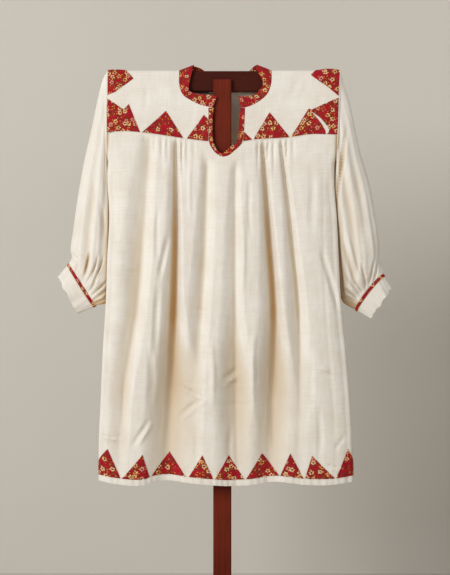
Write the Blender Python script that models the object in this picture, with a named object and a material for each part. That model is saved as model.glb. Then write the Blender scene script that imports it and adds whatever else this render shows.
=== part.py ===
"""A muslin dress with a yoke, gathered skirt and sleeves and calico triangles, on a wooden T-stand.

The frame: +Z up, the front faces -Y, the origin is on the floor under the middle of the post.
Lengths in the tables and functions are millimetres, and solid() turns them to metres.
Left and right are as seen from the front.
"""
import math

import bpy
import bmesh
import numpy as np
from mathutils import Vector
from mathutils.geometry import delaunay_2d_cdt

# Cloth and seams
MUSLIN = 1.2
CALICO = 1.0
BAND = 1.6
SEAM = 0.3

# Plain colours, linear
MUSLIN_COLOUR = (0.79, 0.73, 0.62)
CALICO_COLOUR = (0.42, 0.012, 0.02)
WOOD_COLOUR = (0.10, 0.03, 0.014)

# Stand
POST_WIDTH = 40.0
POST_DEPTH = 30.0
LAP_DEPTH = 10.0
BAR_HEIGHT = 45.0
BAR_DEPTH = 22.0
BAR_ENDS = (-245.0, 249.0)
LAP_DROP = 20.0
BASE_SIDE = 360.0
BASE_THICK = 24.0
EDGE_ROUND = 2.0

# Where the cloth passes over the crossbar
SHOULDER = 1302.0
BAR_FRONT = -POST_DEPTH / 2 + LAP_DEPTH + SEAM
BAR_BACK = BAR_FRONT + BAR_DEPTH
BAR_TOP = SHOULDER - MUSLIN - 0.4
CORNER = 6.0
FRONT_FACE = BAR_FRONT - 3.3
BACK_FACE = BAR_BACK + 3.3
TOP_FLAT = (BACK_FACE - FRONT_FACE) / 2 - CORNER
OVER = TOP_FLAT + CORNER * math.pi / 2
DROP = 140.0
YOKE_SPAN = 510.0
YOKE_COLUMNS = 27
SEAM_LEVEL = 1155.0
HEM_LEVEL = 406.0

# Skirt: the flat of a panel, its turn to the side seam, and the hem band
FLAT = 235.0
TURN = 40.0
UNDERARM_ROW = 3
HEM_BAND = 13.0
SEAM_Y = 3.0
FULL_RECESS = 24.0
TURN_WIDTH = (16.0, 24.0)
FOLLOWS_HEM = 45.0
RECESS_FADE = 80.0
ARMHOLE_FADE = 50.0
ARMHOLE_MARGIN = 35.0
ARMHOLE_SET_BACK = 3.5
POST_SWELL = 2.5
SWELL_WIDTH = 55.0
SLIT_HUSH = (42.0, 30.0)

LEFT = -1
RIGHT = 1


def table(columns, rows):
    """Names the columns of a short table."""
    return {name: np.array(values, float) for name, values in zip(columns.split(), zip(*rows))}


def read(rows, given, wanted, value):
    """Reads a column at a value between the rows, on a smooth curve."""
    xs = rows[given]
    ys = rows[wanted]
    if xs[0] > xs[-1]:
        xs = xs[::-1]
        ys = ys[::-1]
    value = min(max(value, xs[0]), xs[-1])
    i = min(int(np.searchsorted(xs, value, side="right")) - 1, len(xs) - 2)
    slopes = np.diff(ys) / np.diff(xs)
    before = slopes[max(i - 1, 0)]
    after = slopes[min(i + 1, len(slopes) - 1)]
    step = xs[i + 1] - xs[i]
    u = (value - xs[i]) / step
    start = (before + slopes[i]) / 2 * step
    end = (after + slopes[i]) / 2 * step
    rise = ys[i + 1] - ys[i]
    return float(ys[i] + start * (u - 2 * u**2 + u**3) + rise * (3 * u**2 - 2 * u**3) + end * (u**3 - u**2))


def ease(u):
    """0 to 1 with flat ends."""
    u = min(max(u, 0.0), 1.0)
    return u * u * (3 - 2 * u)


# The body's outline from the front
OUTLINE = table("z left right", [
    (1302, -254, 262),
    (1252, -254, 259),
    (1165, -255.5, 255.5),
    (1100, -255, 250),
    (1050, -253, 247),
    (981, -249, 252),
    (882, -253.5, 256.5),
    (794, -256, 261),
    (684, -262.5, 272),
    (574, -267, 281),
    (486, -271, 285.5),
    (390, -270, 287),
])

# How far the panels stand from the post's middle
DEPTH = table("z front back", [
    (1296, FRONT_FACE, BACK_FACE),
    (1270, -13, 24),
    (1240, -18, 27),
    (1160, -23, 31),
    (1060, -30, 36),
    (900, -38, 42),
    (700, -46, 48),
    (390, -54, 54),
])

# Height of the seam under the yoke, and of the hem band's upper edge
YOKE_SEAM = table("x front back", [
    (-256, 1161.5, 1161),
    (-216, 1165, 1161),
    (-177, 1162.5, 1160),
    (-82, 1148, 1157),
    (-29, 1142, 1156),
    (8, 1140.5, 1156),
    (44, 1142, 1156),
    (78, 1145.5, 1156.5),
    (149, 1151.5, 1158),
    (197, 1158.5, 1157),
    (256, 1157, 1157),
])
HEM_SEAM = table("x front back", [
    (-270, 413, 413),
    (-221, 405.5, 410),
    (-166, 405, 406),
    (-155, 409.5, 406),
    (-115, 412.5, 409),
    (-80, 409, 412),
    (-20, 404.5, 407),
    (15, 402, 404),
    (54, 403.5, 406),
    (125, 410.5, 411),
    (177, 405.5, 408),
    (215, 404.5, 405),
    (246, 406, 407),
    (287, 411, 411),
])

# Furrows between the skirt's folds: place, half-widths and depth at five heights, top to hem
FURROW_HEIGHTS = (1135.0, 948.0, 772.0, 591.0, 405.0)
FRONT_FURROWS = [
    ((-166, -190, -205, -230, -238), (20, 24, 26, 26, 20), (20, 22, 24, 24, 20), (2, 7, 9, 8, 3)),
    ((-106, -103, -110, -115, -112), (15, 20, 24, 30, 40), (8, 12, 13, 20, 34), (6, 17, 19, 17, 13)),
    ((-34, -46, -57, -62, -62), (9, 16, 18, 20, 20), (9, 14, 16, 20, 20), (4, 10, 11, 7, 2)),
    ((26, 19, 18, 26, 30), (10, 15, 16, 20, 20), (10, 14, 16, 20, 20), (4, 10, 10, 8, 3)),
    ((87, 101, 114, 100, 95), (8, 13, 16, 22, 26), (9, 14, 17, 24, 34), (6, 16, 18, 15, 11)),
    ((128, 151, 165, 158, 150), (8, 13, 16, 18, 20), (9, 14, 17, 20, 22), (5, 10, 11, 5, 3)),
    ((232, 231, 232, 240, 250), (16, 22, 26, 26, 24), (14, 18, 20, 22, 24), (2, 6, 5, 4, 5)),
]
BACK_FURROWS = [
    ((-190, -196, -205, -214, -220), (16, 22, 24, 28, 30), (14, 18, 20, 24, 28), (4, 10, 12, 11, 8)),
    ((-120, -131, -138, -140, -146), (9, 14, 18, 22, 26), (9, 15, 18, 22, 26), (6, 14, 16, 12, 7)),
    ((-58, -52, -57, -66, -70), (10, 16, 19, 24, 28), (10, 14, 17, 22, 26), (5, 13, 15, 13, 9)),
    ((12, 20, 16, 6, 4), (9, 14, 18, 22, 24), (9, 15, 18, 22, 24), (4, 11, 13, 9, 5)),
    ((70, 82, 90, 88, 84), (9, 14, 18, 24, 28), (10, 15, 17, 22, 28), (6, 15, 17, 14, 10)),
    ((134, 143, 157, 162, 160), (9, 14, 17, 20, 24), (9, 14, 18, 22, 26), (5, 11, 13, 11, 8)),
    ((196, 208, 216, 226, 232), (14, 20, 24, 26, 28), (14, 18, 22, 24, 26), (4, 9, 11, 9, 7)),
]

# Small gathers that die out under the yoke: place, half-width and depth
GATHER_DROP = 95.0
SLIT_FOOT = (6.0, 1142.0)
FRONT_GATHERS = [
    (-148, 7, 3.5), (-133, 7, 4), (-120, 6, 3.5), (-90, 7, 4), (-77, 6, 3.5), (-62, 7, 2.5),
    (50, 7, 2.5), (73, 6, 3.5), (100, 6, 4), (112, 6, 4), (142, 7, 3.5), (156, 7, 3),
]
BACK_GATHERS = [
    (-155, 7, 3), (-139, 7, 4), (-104, 7, 4), (-88, 7, 3.5), (-36, 7, 3), (-14, 7, 3.5),
    (36, 7, 3.5), (52, 7, 3), (90, 7, 4), (106, 7, 3.5), (152, 7, 3.5), (170, 7, 3),
]
PANEL_ROWS = (0, 20, 40, 61, 100, 165, 245, 335, 430, 530, 640, 757)
PANEL_DROP = PANEL_ROWS[-1]

# Columns of a skirt panel by zone: from, to, count
FRONT_ZONES = ((-235, -165, 6), (-165, -55, 18), (-55, 40, 11), (40, 170, 20), (170, 235, 5))
BACK_ZONES = ((-235, -165, 4), (-165, 180, 32), (180, 235, 3))
TURN_STEPS = (0.3, 0.6, 0.8, 1.0)

# Sleeves: outer and inner line, half-depth and middle, from the armhole to the cuff seam
SLEEVES = {
    LEFT: table("part outer_x outer_z inner_x inner_z half middle", [
        (0, -254, 1302, -254, 1101.2, 0, 0),
        (1, -267, 1276, -257.5, 1082, 25, 6),
        (2, -282.5, 1212, -255, 1040, 30, 8),
        (3, -297, 1146, -252, 999, 34, 10),
        (4, -311.5, 1080, -251, 957, 36, 12),
        (5, -322.5, 1017, -251, 913, 37, 13),
        (6, -332, 952, -250.5, 869, 38, 14),
        (7, -337.5, 908, -250.5, 825, 37, 14),
        (8, -335, 889, -256.5, 788.5, 29, 13),
        (9, -340.5, 874.5, -280, 781, 15, 11),
    ]),
    RIGHT: table("part outer_x outer_z inner_x inner_z half middle", [
        (0, 262, 1302, 250, 1096.8, 0, 0),
        (1, 267, 1279, 253.5, 1076, 25, 6),
        (2, 282, 1235, 253, 1042, 30, 8),
        (3, 295.5, 1177, 253, 1010, 34, 10),
        (4, 308, 1118, 254, 975, 36, 12),
        (5, 328.5, 1050, 256, 935, 37, 13),
        (6, 340, 985, 258.5, 888, 38, 14),
        (7, 349, 925, 261, 842, 37, 14),
        (8, 351, 880, 266, 792, 29, 13),
        (9, 358.5, 851, 295, 772, 15, 11),
    ]),
}
SLEEVE_PARTS = (0, 0.55, 1.2, 2.2, 3.3, 4.4, 5.5, 6.5, 7.3, 8, 8.5, 9)
SLEEVE_COLUMNS = 32
CUFF_ENDS = {LEFT: (-365, 845.5, -320, 763), RIGHT: (373.5, 818, 329, 754.5)}
CUFF_HALF = 17.0
CUFF_LENGTH = 40.0
PIPING = 6.5

# Lengthwise furrows of the sleeves: angle round from the outer line, half-width, depth by part
SLEEVE_FURROWS = {
    LEFT: [
        (78, 26, (0, 3, 8, 8, 3)),
        (128, 24, (0, 4, 5, 4, 2)),
        (235, 28, (0, 5, 8, 7, 2)),
        (300, 26, (0, 4, 7, 6, 2)),
    ],
    RIGHT: [
        (62, 22, (0, 3, 5, 5, 3)),
        (102, 24, (0, 5, 9, 8, 3)),
        (230, 28, (0, 4, 8, 7, 2)),
        (295, 26, (0, 5, 7, 6, 2)),
    ],
}
CUFF_GATHERS = 9
CUFF_GATHER_DEPTH = 2.6
CUFF_WAVES = {LEFT: (3, 1.0), RIGHT: (4, 2.6)}

# Neckband stations, left front end round the back to the right front end
# Heights on the front and back give the place, "over" counts along the cloth across the crossbar
NECKBAND = table("outer_x outer_z outer_over inner_x inner_z inner_over lift", [
    (-20.9, 1218.0, 0, -12.3, 1242.0, 0, 0.5),
    (-31.0, 1219.5, 0, -24.9, 1245.0, 0, 0.5),
    (-47.0, 1223.5, 0, -42.5, 1246.5, 0, 0.5),
    (-64.0, 1231.0, 0, -57.9, 1248.5, 0, 0.5),
    (-82.0, 1242.0, 0, -70.2, 1252.7, 0, 0.5),
    (-90.5, 1253.0, 0, -74.0, 1261.5, 0, 0.5),
    (-95.0, 1272.0, 0, -71.0, 1280.0, 0, 1.5),
    (-95.0, 0, OVER, -67.0, 0, OVER, 4),
    (-95.0, 0, 13, -66.0, 0, 13, 6),
    (-95.0, 0, TOP_FLAT, -65.0, 0, TOP_FLAT, 8),
    (-94.0, 0, -TOP_FLAT, -64.0, 0, -TOP_FLAT, 9),
    (-93.5, 0, -13, -64.0, 0, -13, 7),
    (-93.0, 0, -OVER, -64.0, 0, -OVER, 4),
    (-84.0, -1272, 0, -60.0, -1289, 0, 1.5),
    (-62.0, -1262, 0, -46.0, -1286, 0, 0.5),
    (-30.0, -1257, 0, -24.0, -1284, 0, 0.5),
    (6.0, -1256, 0, 6.0, -1283, 0, 0.5),
    (42.0, -1257, 0, 36.0, -1284, 0, 0.5),
    (74.0, -1262, 0, 58.0, -1286, 0, 0.5),
    (97.0, -1272, 0, 72.0, -1289, 0, 1.5),
    (106.5, 0, -OVER, 76.0, 0, -OVER, 4),
    (107.0, 0, -13, 76.0, 0, -13, 7),
    (107.5, 0, -TOP_FLAT, 75.5, 0, -TOP_FLAT, 9),
    (108.0, 0, TOP_FLAT, 75.5, 0, TOP_FLAT, 10),
    (108.5, 0, 13, 76.5, 0, 13, 7),
    (109.0, 0, OVER, 79.0, 0, OVER, 4),
    (108.5, 1278.0, 0, 87.0, 1280.0, 0, 1.5),
    (105.5, 1263.0, 0, 89.5, 1268.0, 0, 0.5),
    (98.0, 1246.5, 0, 79.0, 1253.0, 0, 0.5),
    (82.5, 1232.7, 0, 66.0, 1244.0, 0, 0.5),
    (67.0, 1223.5, 0, 52.0, 1243.0, 0, 0.5),
    (50.8, 1218.0, 0, 35.0, 1242.0, 0, 0.5),
])
NECKBAND_ROWS = (0.0, 0.5, 1.0)

# Slit binding stations, left top round the U to the right top
BINDING = table("outer_x outer_z inner_x inner_z", [
    (-30.4, 1216.8, -18.5, 1216.8),
    (-30.4, 1200.0, -20.5, 1200.0),
    (-30.4, 1179.0, -21.6, 1179.0),
    (-29.6, 1158.0, -21.2, 1158.0),
    (-28.8, 1141.6, -20.0, 1143.0),
    (-24.0, 1129.3, -16.3, 1132.4),
    (-15.6, 1118.1, -10.1, 1122.2),
    (-5.9, 1110.8, -4.0, 1117.8),
    (3.7, 1109.0, 2.2, 1117.0),
    (16.1, 1113.0, 9.2, 1122.9),
    (27.1, 1122.5, 20.2, 1132.0),
    (38.0, 1132.0, 30.5, 1139.4),
    (44.0, 1141.6, 35.0, 1147.1),
    (47.7, 1163.6, 35.6, 1165.0),
    (49.2, 1190.0, 37.2, 1190.0),
    (50.2, 1216.8, 40.0, 1216.8),
])
BINDING_ROWS = (0.0, 0.5, 1.0)

# Yoke triangles by their corners: x and z on the front, or x and "over" past the shoulder
YOKE_FRONT = {
    "shoulder_left": ((-253, None, -35), (-253, 1246, 0), (-235, 1253, 0), (-196, 1283, 0)),
    "corner_left": ((-253, 1238, 0), (-254, 1163, 0), (-181, 1163, 0), (-206, 1225, 0), (-217, 1213, 0)),
    "row_left": ((-176, 1163, 0), (-86, 1150, 0), (-124, 1210, 0)),
    "slit_left": ((-78, 1149, 0), (-32.5, 1143, 0), (-32.5, 1192, 0), (-40.5, 1201, 0)),
    "slit_right": ((47.5, 1143, 0), (65.5, 1146.5, 0), (49.5, 1163, 0)),
    "row_right": ((68.5, 1147, 0), (148, 1152, 0), (104, 1207, 0)),
    "corner_right": (
        (151.5, 1153, 0), (230, 1158.7, 0), (230, 1164, 0), (219, 1179, 0), (208, 1191, 0), (196, 1204, 0),
        (190, 1215, 0),
    ),
    "armhole_right": (
        (253, 1158.5, 0), (256, 1240, 0), (232, 1229, 0), (200.5, 1212, 0), (200.5, 1206, 0),
        (215, 1197, 0), (227, 1184, 0), (236, 1169, 0), (232, 1163, 0), (232, 1158.8, 0),
    ),
    "shoulder_right": ((260, None, -42), (195, 1291, 0), (214, 1277, 0), (232, 1264, 0), (256, 1244, 0)),
}
YOKE_BACK = {
    "back_corner_left": ((-253, 1234, 0), (-206, 1224, 0), (-181, 1161, 0), (-254, 1161, 0)),
    "back_row_1": ((-176, 1161, 0), (-135, 1214, 0), (-92, 1158, 0)),
    "back_row_2": ((-88, 1158, 0), (-44, 1212, 0), (-3, 1156.6, 0)),
    "back_row_3": ((2, 1156.6, 0), (46, 1211, 0), (88, 1157.5, 0)),
    "back_row_4": ((92, 1157.5, 0), (134, 1213, 0), (174, 1158.5, 0)),
    "back_corner_right": ((179, 1158.5, 0), (205, 1222, 0), (254, 1236, 0), (254, 1158.5, 0)),
}

# Hem triangles: left foot, apex, right foot and height
FRONT_HEM = table("left apex right height", [
    (-304, -249, -221.5, 60),
    (-218.5, -173, -158.5, 53),
    (-154.5, -115, -80, 50),
    (-72.5, -42.5, -19.5, 51),
    (-16, 14.5, 48.5, 54),
    (52, 87.5, 124.5, 53),
    (127, 149, 177, 52),
    (180, 196, 245, 51),
    (248, 275, 312, 60),
])
BACK_HEM = table("left apex right height", [
    (-255, -228, -199, 56),
    (-196, -166, -138, 52),
    (-135, -108, -80, 53),
    (-77, -47, -19, 51),
    (-16, 12, 42, 54),
    (45, 73, 101, 52),
    (104, 133, 160, 53),
    (163, 192, 218, 51),
    (221, 249, 273, 56),
])


def material(name, colour, roughness, metallic=0.0):
    """One plain finish."""
    made = bpy.data.materials.new(name)
    made.use_nodes = True
    shader = made.node_tree.nodes["Principled BSDF"]
    shader.inputs["Base Color"].default_value = (*colour, 1.0)
    shader.inputs["Roughness"].default_value = roughness
    shader.inputs["Metallic"].default_value = metallic
    return made


def solid(name, points, faces, finish):
    """Makes one closed solid from points in millimetres."""
    mesh = bpy.data.meshes.new(name)
    mesh.from_pydata([tuple(p * 0.001 for p in point) for point in points], [], faces)
    form = bmesh.new()
    form.from_mesh(mesh)
    bmesh.ops.recalc_face_normals(form, faces=form.faces)
    form.to_mesh(mesh)
    form.free()
    mesh.materials.append(finish)
    made = bpy.data.objects.new(name, mesh)
    bpy.context.scene.collection.objects.link(made)
    mesh.shade_smooth()
    mesh.set_sharp_from_angle(angle=math.radians(40))
    return made


def outline_at(side, z):
    """The body's edge at a height."""
    return read(OUTLINE, "z", "left" if side == LEFT else "right", z)


class Panel:
    """A cloth surface: points and outward normals where its columns and rows cross."""

    def __init__(self, columns, rows, place, facing):
        self.columns = np.array(columns, float)
        self.rows = np.array(rows, float)
        self.points = np.array([[place(p, q) for q in self.rows] for p in self.columns])
        across = np.gradient(self.points, self.columns, axis=0)
        down = np.gradient(self.points, self.rows, axis=1)
        self.normals = np.cross(down, across) * facing
        self.normals /= np.linalg.norm(self.normals, axis=2, keepdims=True)

    def square(self, where, axis):
        """Turns the normals on an edge square to an axis, so that the seam stays in its plane."""
        self.normals[where + (axis,)] = 0
        edge = self.normals[where]
        self.normals[where] = edge / np.linalg.norm(edge, axis=-1, keepdims=True)

    def at(self, p, q):
        """The point and normal at a place, on the flat triangle that holds it."""
        i = min(max(int(np.searchsorted(self.columns, p, side="right")) - 1, 0), len(self.columns) - 2)
        j = min(max(int(np.searchsorted(self.rows, q, side="right")) - 1, 0), len(self.rows) - 2)
        u = (p - self.columns[i]) / (self.columns[i + 1] - self.columns[i])
        v = (q - self.rows[j]) / (self.rows[j + 1] - self.rows[j])
        found = []
        for grid in (self.points, self.normals):
            a, b, c, d = grid[i, j], grid[i + 1, j], grid[i, j + 1], grid[i + 1, j + 1]
            if u + v <= 1:
                found.append(a + u * (b - a) + v * (c - a))
            else:
                found.append(d + (1 - u) * (c - d) + (1 - v) * (b - d))
        return found[0], found[1] / np.linalg.norm(found[1])

    def border(self):
        """The panel's own edge, all round."""
        p0, p1 = self.columns[0], self.columns[-1]
        q0, q1 = self.rows[0], self.rows[-1]
        return [(p0, q0), (p1, q0), (p1, q1), (p0, q1)]


def lattice(panel, outline):
    """The grid's crossings and edges, with the diagonals, near an outline."""
    low = np.min(outline, axis=0)
    high = np.max(outline, axis=0)
    cols = panel.columns
    rows = panel.rows
    i0 = max(int(np.searchsorted(cols, low[0], side="right")) - 1, 0)
    i1 = min(int(np.searchsorted(cols, high[0])), len(cols) - 1)
    j0 = max(int(np.searchsorted(rows, low[1], side="right")) - 1, 0)
    j1 = min(int(np.searchsorted(rows, high[1])), len(rows) - 1)
    spots = [(cols[i], rows[j]) for i in range(i0, i1 + 1) for j in range(j0, j1 + 1)]
    tall = j1 - j0 + 1
    edges = []
    for i in range(i1 - i0 + 1):
        for j in range(tall):
            here = i * tall + j
            right = here + tall
            if j < tall - 1:
                edges.append((here, here + 1))
            if i < i1 - i0:
                edges.append((here, right))
            if i < i1 - i0 and j < tall - 1:
                edges.append((here + 1, right))
    return spots, edges


def turns_left(outline):
    """Twice the area inside an outline, negative where it runs clockwise."""
    return sum(a[0] * b[1] - a[1] * b[0] for a, b in zip(outline, list(outline[1:]) + [outline[0]]))


def cut(panel, outline):
    """Cuts an outline out of a panel and gives its flat points and triangles."""
    spots, edges = lattice(panel, outline)
    if turns_left(outline) < 0:
        outline = outline[::-1]
    start = len(spots)
    spots = spots + list(outline)
    face = list(range(start, len(spots)))
    verts, _, faces, _, _, origins = delaunay_2d_cdt([Vector(s) for s in spots], edges, [face], 0, 1e-3)
    kept = [tuple(f) for f, source in zip(faces, origins) if source]
    used = sorted({i for f in kept for i in f})
    order = {old: new for new, old in enumerate(used)}
    return [tuple(verts[i]) for i in used], [tuple(order[i] for i in f) for f in kept]


def rim(triangles):
    """The edges that only one triangle has, in its own direction."""
    sides = {(t[k], t[(k + 1) % 3]) for t in triangles for k in range(3)}
    return [side for side in sides if (side[1], side[0]) not in sides]


def sewn(name, panel, outline, low, high, finish):
    """Cloth cut from a panel by an outline, between two heights over the panel's surface."""
    flat, triangles = cut(panel, outline)
    under = []
    upper = []
    for p, q in flat:
        point, normal = panel.at(p, q)
        under.append(point + normal * low)
        upper.append(point + normal * high)
    count = len(flat)
    faces = [(a + count, b + count, c + count) for a, b, c in triangles]
    faces += [(c, b, a) for a, b, c in triangles]
    for a, b in sorted(rim(triangles)):
        faces += [(b, a, a + count), (b, a + count, b + count)]
    return solid(name, under + upper, faces, finish)


def ring_normals(rings):
    """Outward normals of closed rings of points."""
    around = np.roll(rings, -1, axis=1) - np.roll(rings, 1, axis=1)
    along = np.gradient(rings, axis=0)
    normals = np.cross(around, along)
    normals /= np.linalg.norm(normals, axis=2, keepdims=True)
    outward = rings - rings.mean(axis=1, keepdims=True)
    if (normals * outward).sum() < 0:
        normals = -normals
    return normals


def flatten(normals, index, direction):
    """Turns an end ring's normals square to the tube's direction there."""
    direction = np.array(direction) / np.linalg.norm(direction)
    ring = normals[index]
    ring = ring - np.outer(ring @ direction, direction)
    normals[index] = ring / np.linalg.norm(ring, axis=1, keepdims=True)


def tube(name, rings, normals, low, high, finish):
    """A cloth wall through closed rings, open at both ends."""
    tall, wide, _ = rings.shape
    under = (rings + normals * low).reshape(-1, 3)
    upper = (rings + normals * high).reshape(-1, 3)
    count = tall * wide
    faces = []
    for i in range(tall - 1):
        for j in range(wide):
            a = i * wide + j
            b = i * wide + (j + 1) % wide
            c = b + wide
            d = a + wide
            faces += [(a + count, b + count, d + count), (b + count, c + count, d + count)]
            faces += [(a, d, b), (b, d, c)]
    for start, turn in ((0, 1), ((tall - 1) * wide, -1)):
        for j in range(wide):
            a = start + j
            b = start + (j + 1) % wide
            quad = (a, b, b + count, a + count)[::turn]
            faces += [(quad[0], quad[1], quad[2]), (quad[0], quad[2], quad[3])]
    return solid(name, list(under) + list(upper), faces, finish)


def over_bar(q):
    """The cloth's path over the crossbar: q counts from the middle of its top, front positive."""
    middle = (FRONT_FACE + BACK_FACE) / 2
    side = -1 if q > 0 else 1
    run = abs(q)
    if run <= TOP_FLAT:
        return middle + side * run, SHOULDER
    angle = min((run - TOP_FLAT) / CORNER, math.pi / 2)
    y = middle + side * (TOP_FLAT + CORNER * math.sin(angle))
    return y, SHOULDER - CORNER * (1 - math.cos(angle))


def post_swell(x):
    """The front lies a little further out where the post stands behind it."""
    return -POST_SWELL * math.exp(-((x - SLIT_FOOT[0]) / SWELL_WIDTH) ** 2)


def seam_height(x, face):
    """Height of the yoke's lower seam."""
    return read(YOKE_SEAM, "x", face, x)


def face_depth(x, z, face):
    """The smooth depth of the front or back at a place, before folds."""
    depth = read(DEPTH, "z", face, z)
    if face == "front":
        depth += post_swell(x) * ease((SHOULDER - CORNER - z) / 40)
    return depth


def underarm_height(side):
    """Where the armhole ends and the side seam begins."""
    top = seam_height(side * 256, "front")
    hem = read(HEM_SEAM, "x", "front", side * 287)
    return top - (top - hem) * PANEL_ROWS[UNDERARM_ROW] / PANEL_DROP


def armhole_pull(side, z, face):
    """How far the armhole's edge lies back from the panel's face."""
    shallow = ARMHOLE_SET_BACK * ease((SHOULDER - CORNER - z) / ARMHOLE_FADE)
    bottom = underarm_height(side)
    start = bottom + ARMHOLE_FADE
    if z >= start:
        return shallow
    reach = SEAM_Y - SEAM / 2 - read(DEPTH, "z", "front", bottom)
    if face == "back":
        reach = read(DEPTH, "z", "back", bottom) - SEAM_Y - SEAM / 2
    u = min((start - z) / ARMHOLE_FADE, 1.0)
    return shallow + (reach - shallow) * (1 - math.sqrt(max(1 - u * u, 0.0)))


def seam_x(across):
    """The place along the yoke's seam at a share of its width."""
    left = outline_at(LEFT, SEAM_LEVEL)
    return left + (outline_at(RIGHT, SEAM_LEVEL) - left) * across


def yoke_place(p, q):
    """A point of the yoke: p across from the left edge, q along the cloth over the shoulder."""
    face = "front" if q >= 0 else "back"
    run = abs(q)
    if run <= OVER:
        y, z = over_bar(q)
        x = outline_at(LEFT, z) + (outline_at(RIGHT, z) - outline_at(LEFT, z)) * p / YOKE_SPAN
        return x, y, z
    top = SHOULDER - CORNER
    across = p / YOKE_SPAN
    z = top + (seam_height(seam_x(across), face) - top) * (run - OVER) / DROP
    left = outline_at(LEFT, z)
    x = left + (outline_at(RIGHT, z) - left) * across
    away = -1 if face == "front" else 1
    y = face_depth(x, z, face)
    side = LEFT if across < 0.5 else RIGHT
    margin = max(0.0, 1 - min(across, 1 - across) * YOKE_SPAN / ARMHOLE_MARGIN)
    y -= away * armhole_pull(side, z, face) * margin**2
    return x, y, z


def yoke_spot(x, z, over=0, face="front"):
    """Where a place on the yoke lies on its flat pattern."""
    height = SHOULDER if z is None else z
    left = outline_at(LEFT, height)
    p = (x - left) / (outline_at(RIGHT, height) - left) * YOKE_SPAN
    if z is None:
        return p, over
    top = SHOULDER - CORNER
    q = OVER + DROP * (top - z) / (top - seam_height(seam_x(p / YOKE_SPAN), face))
    q = min(q, OVER + DROP)
    return p, q if face == "front" else -q


def yoke_panel():
    """The folded yoke."""
    arc = (TOP_FLAT, 13, OVER)
    falls = [OVER + DROP * k / 5 for k in range(1, 6)]
    rows = sorted([-q for q in falls] + [-q for q in arc] + list(arc) + falls)
    columns = np.linspace(0, YOKE_SPAN, YOKE_COLUMNS)
    panel = Panel(columns, rows, yoke_place, 1)
    panel.square((0, slice(None)), 0)
    panel.square((-1, slice(None)), 0)
    panel.square((slice(None), 0), 2)
    panel.square((slice(None), -1), 2)
    return panel


def turn_sizes(side, z, face):
    """The rounding of a panel's side: its width, how far it tucks in, and its edge."""
    bottom = underarm_height(side)
    below = ease((bottom - z) / RECESS_FADE)
    recess = FULL_RECESS * below
    width = TURN_WIDTH[0] + (TURN_WIDTH[1] - TURN_WIDTH[0]) * below
    edge = outline_at(side, z)
    widest = width**2 / (width + recess)
    if face == "back":
        edge -= side * (widest - width + recess)
        return width, 0.0, edge, width
    return width, recess, edge, widest


def furrow(offset, left, right):
    """The cross-section of one furrow, 1 at its bottom."""
    reach = left if offset < 0 else right
    u = abs(offset) / reach
    return 0.0 if u >= 1 else (1 - u) ** 2 * (1 + 2 * u)


def furrow_depth(x, z, face):
    """How far all the furrows push the cloth in at a place."""
    rows = FRONT_FURROWS if face == "front" else BACK_FURROWS
    total = 0.0
    for places, lefts, rights, depths in rows:
        here = table("z place left right depth", zip(FURROW_HEIGHTS, places, lefts, rights, depths))
        level = [read(here, "z", name, z) for name in ("place", "left", "right", "depth")]
        total += level[3] * furrow(x - level[0], level[1], level[2])
    gathers = FRONT_GATHERS if face == "front" else BACK_GATHERS
    top = seam_height(x, face)
    fade = 1 - ease((top - z) / GATHER_DROP)
    for place, half, depth in gathers:
        total += depth * fade * furrow(x - place, half, half)
    if face == "front":
        away = math.hypot(x - SLIT_FOOT[0], z - SLIT_FOOT[1])
        total *= ease((away - SLIT_HUSH[0]) / SLIT_HUSH[1])
    return total


def flat_ends(z, face):
    """Where the flat of a skirt panel ends at a height, left and right, and the turns' sizes."""
    ends = [turn_sizes(s, z, face) for s in (LEFT, RIGHT)]
    return ends[0][2] + ends[0][3], ends[1][2] - ends[1][3], ends


def flat_x(p, z, face):
    """Where a column stands at a height, its turn counted as flat."""
    left, right, _ = flat_ends(z, face)
    return (left + right) / 2 + p / FLAT * (right - left) / 2


def panel_span(p, face):
    """A column's upper and lower end."""
    top = seam_height(flat_x(p, SEAM_LEVEL, "front"), face) - SEAM
    hem = read(HEM_SEAM, "x", face, flat_x(p, HEM_LEVEL, face))
    return top, hem


def skirt_place(p, run, face):
    """A point of a skirt panel: p across, run down from the yoke to the hem band."""
    side = LEFT if p < 0 else RIGHT
    w = max(0.0, (abs(p) - FLAT) / TURN)
    top, hem = panel_span(p, face)
    z = top + (hem - top) * run / PANEL_DROP
    _, _, ends = flat_ends(z, face)
    x = flat_x(p, z, face)
    width, recess, edge, widest = ends[0 if side == LEFT else 1]
    bottom = underarm_height(side)
    power = 1 + ease((bottom + ARMHOLE_FADE - z) / ARMHOLE_FADE)
    away = -1 if face == "front" else 1
    if w > 0:
        out = width * (1 - (1 - w) ** power) - recess * w * w
        x = edge - side * (widest - out)
    y = face_depth(x, z, face)
    y -= away * furrow_depth(x, z, face) * (1 - w) ** 2
    if run < PANEL_ROWS[UNDERARM_ROW]:
        depth = armhole_pull(side, z, face)
    else:
        depth = (SEAM_Y + away * SEAM / 2 - read(DEPTH, "z", face, z)) * -away
    y -= away * depth * w * w
    return x, y, z


def skirt_columns(zones):
    """Columns across a panel, with the turns to the side seams."""
    inner = [zones[0][0]]
    for start, end, count in zones:
        inner += [start + (end - start) * (k + 1) / count for k in range(count)]
    turns = [FLAT + TURN * step for step in TURN_STEPS]
    return [-t for t in reversed(turns)] + inner + turns


def skirt_panel(face, zones):
    """The front or back of the skirt."""
    facing = 1 if face == "front" else -1
    panel = Panel(skirt_columns(zones), PANEL_ROWS, lambda p, q: skirt_place(p, q, face), facing)
    for side in (0, -1):
        panel.square((side, slice(0, UNDERARM_ROW)), 0)
        panel.square((side, slice(UNDERARM_ROW, None)), 1)
    panel.square((slice(None), 0), 2)
    panel.square((slice(None), -1), 2)
    return panel


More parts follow.
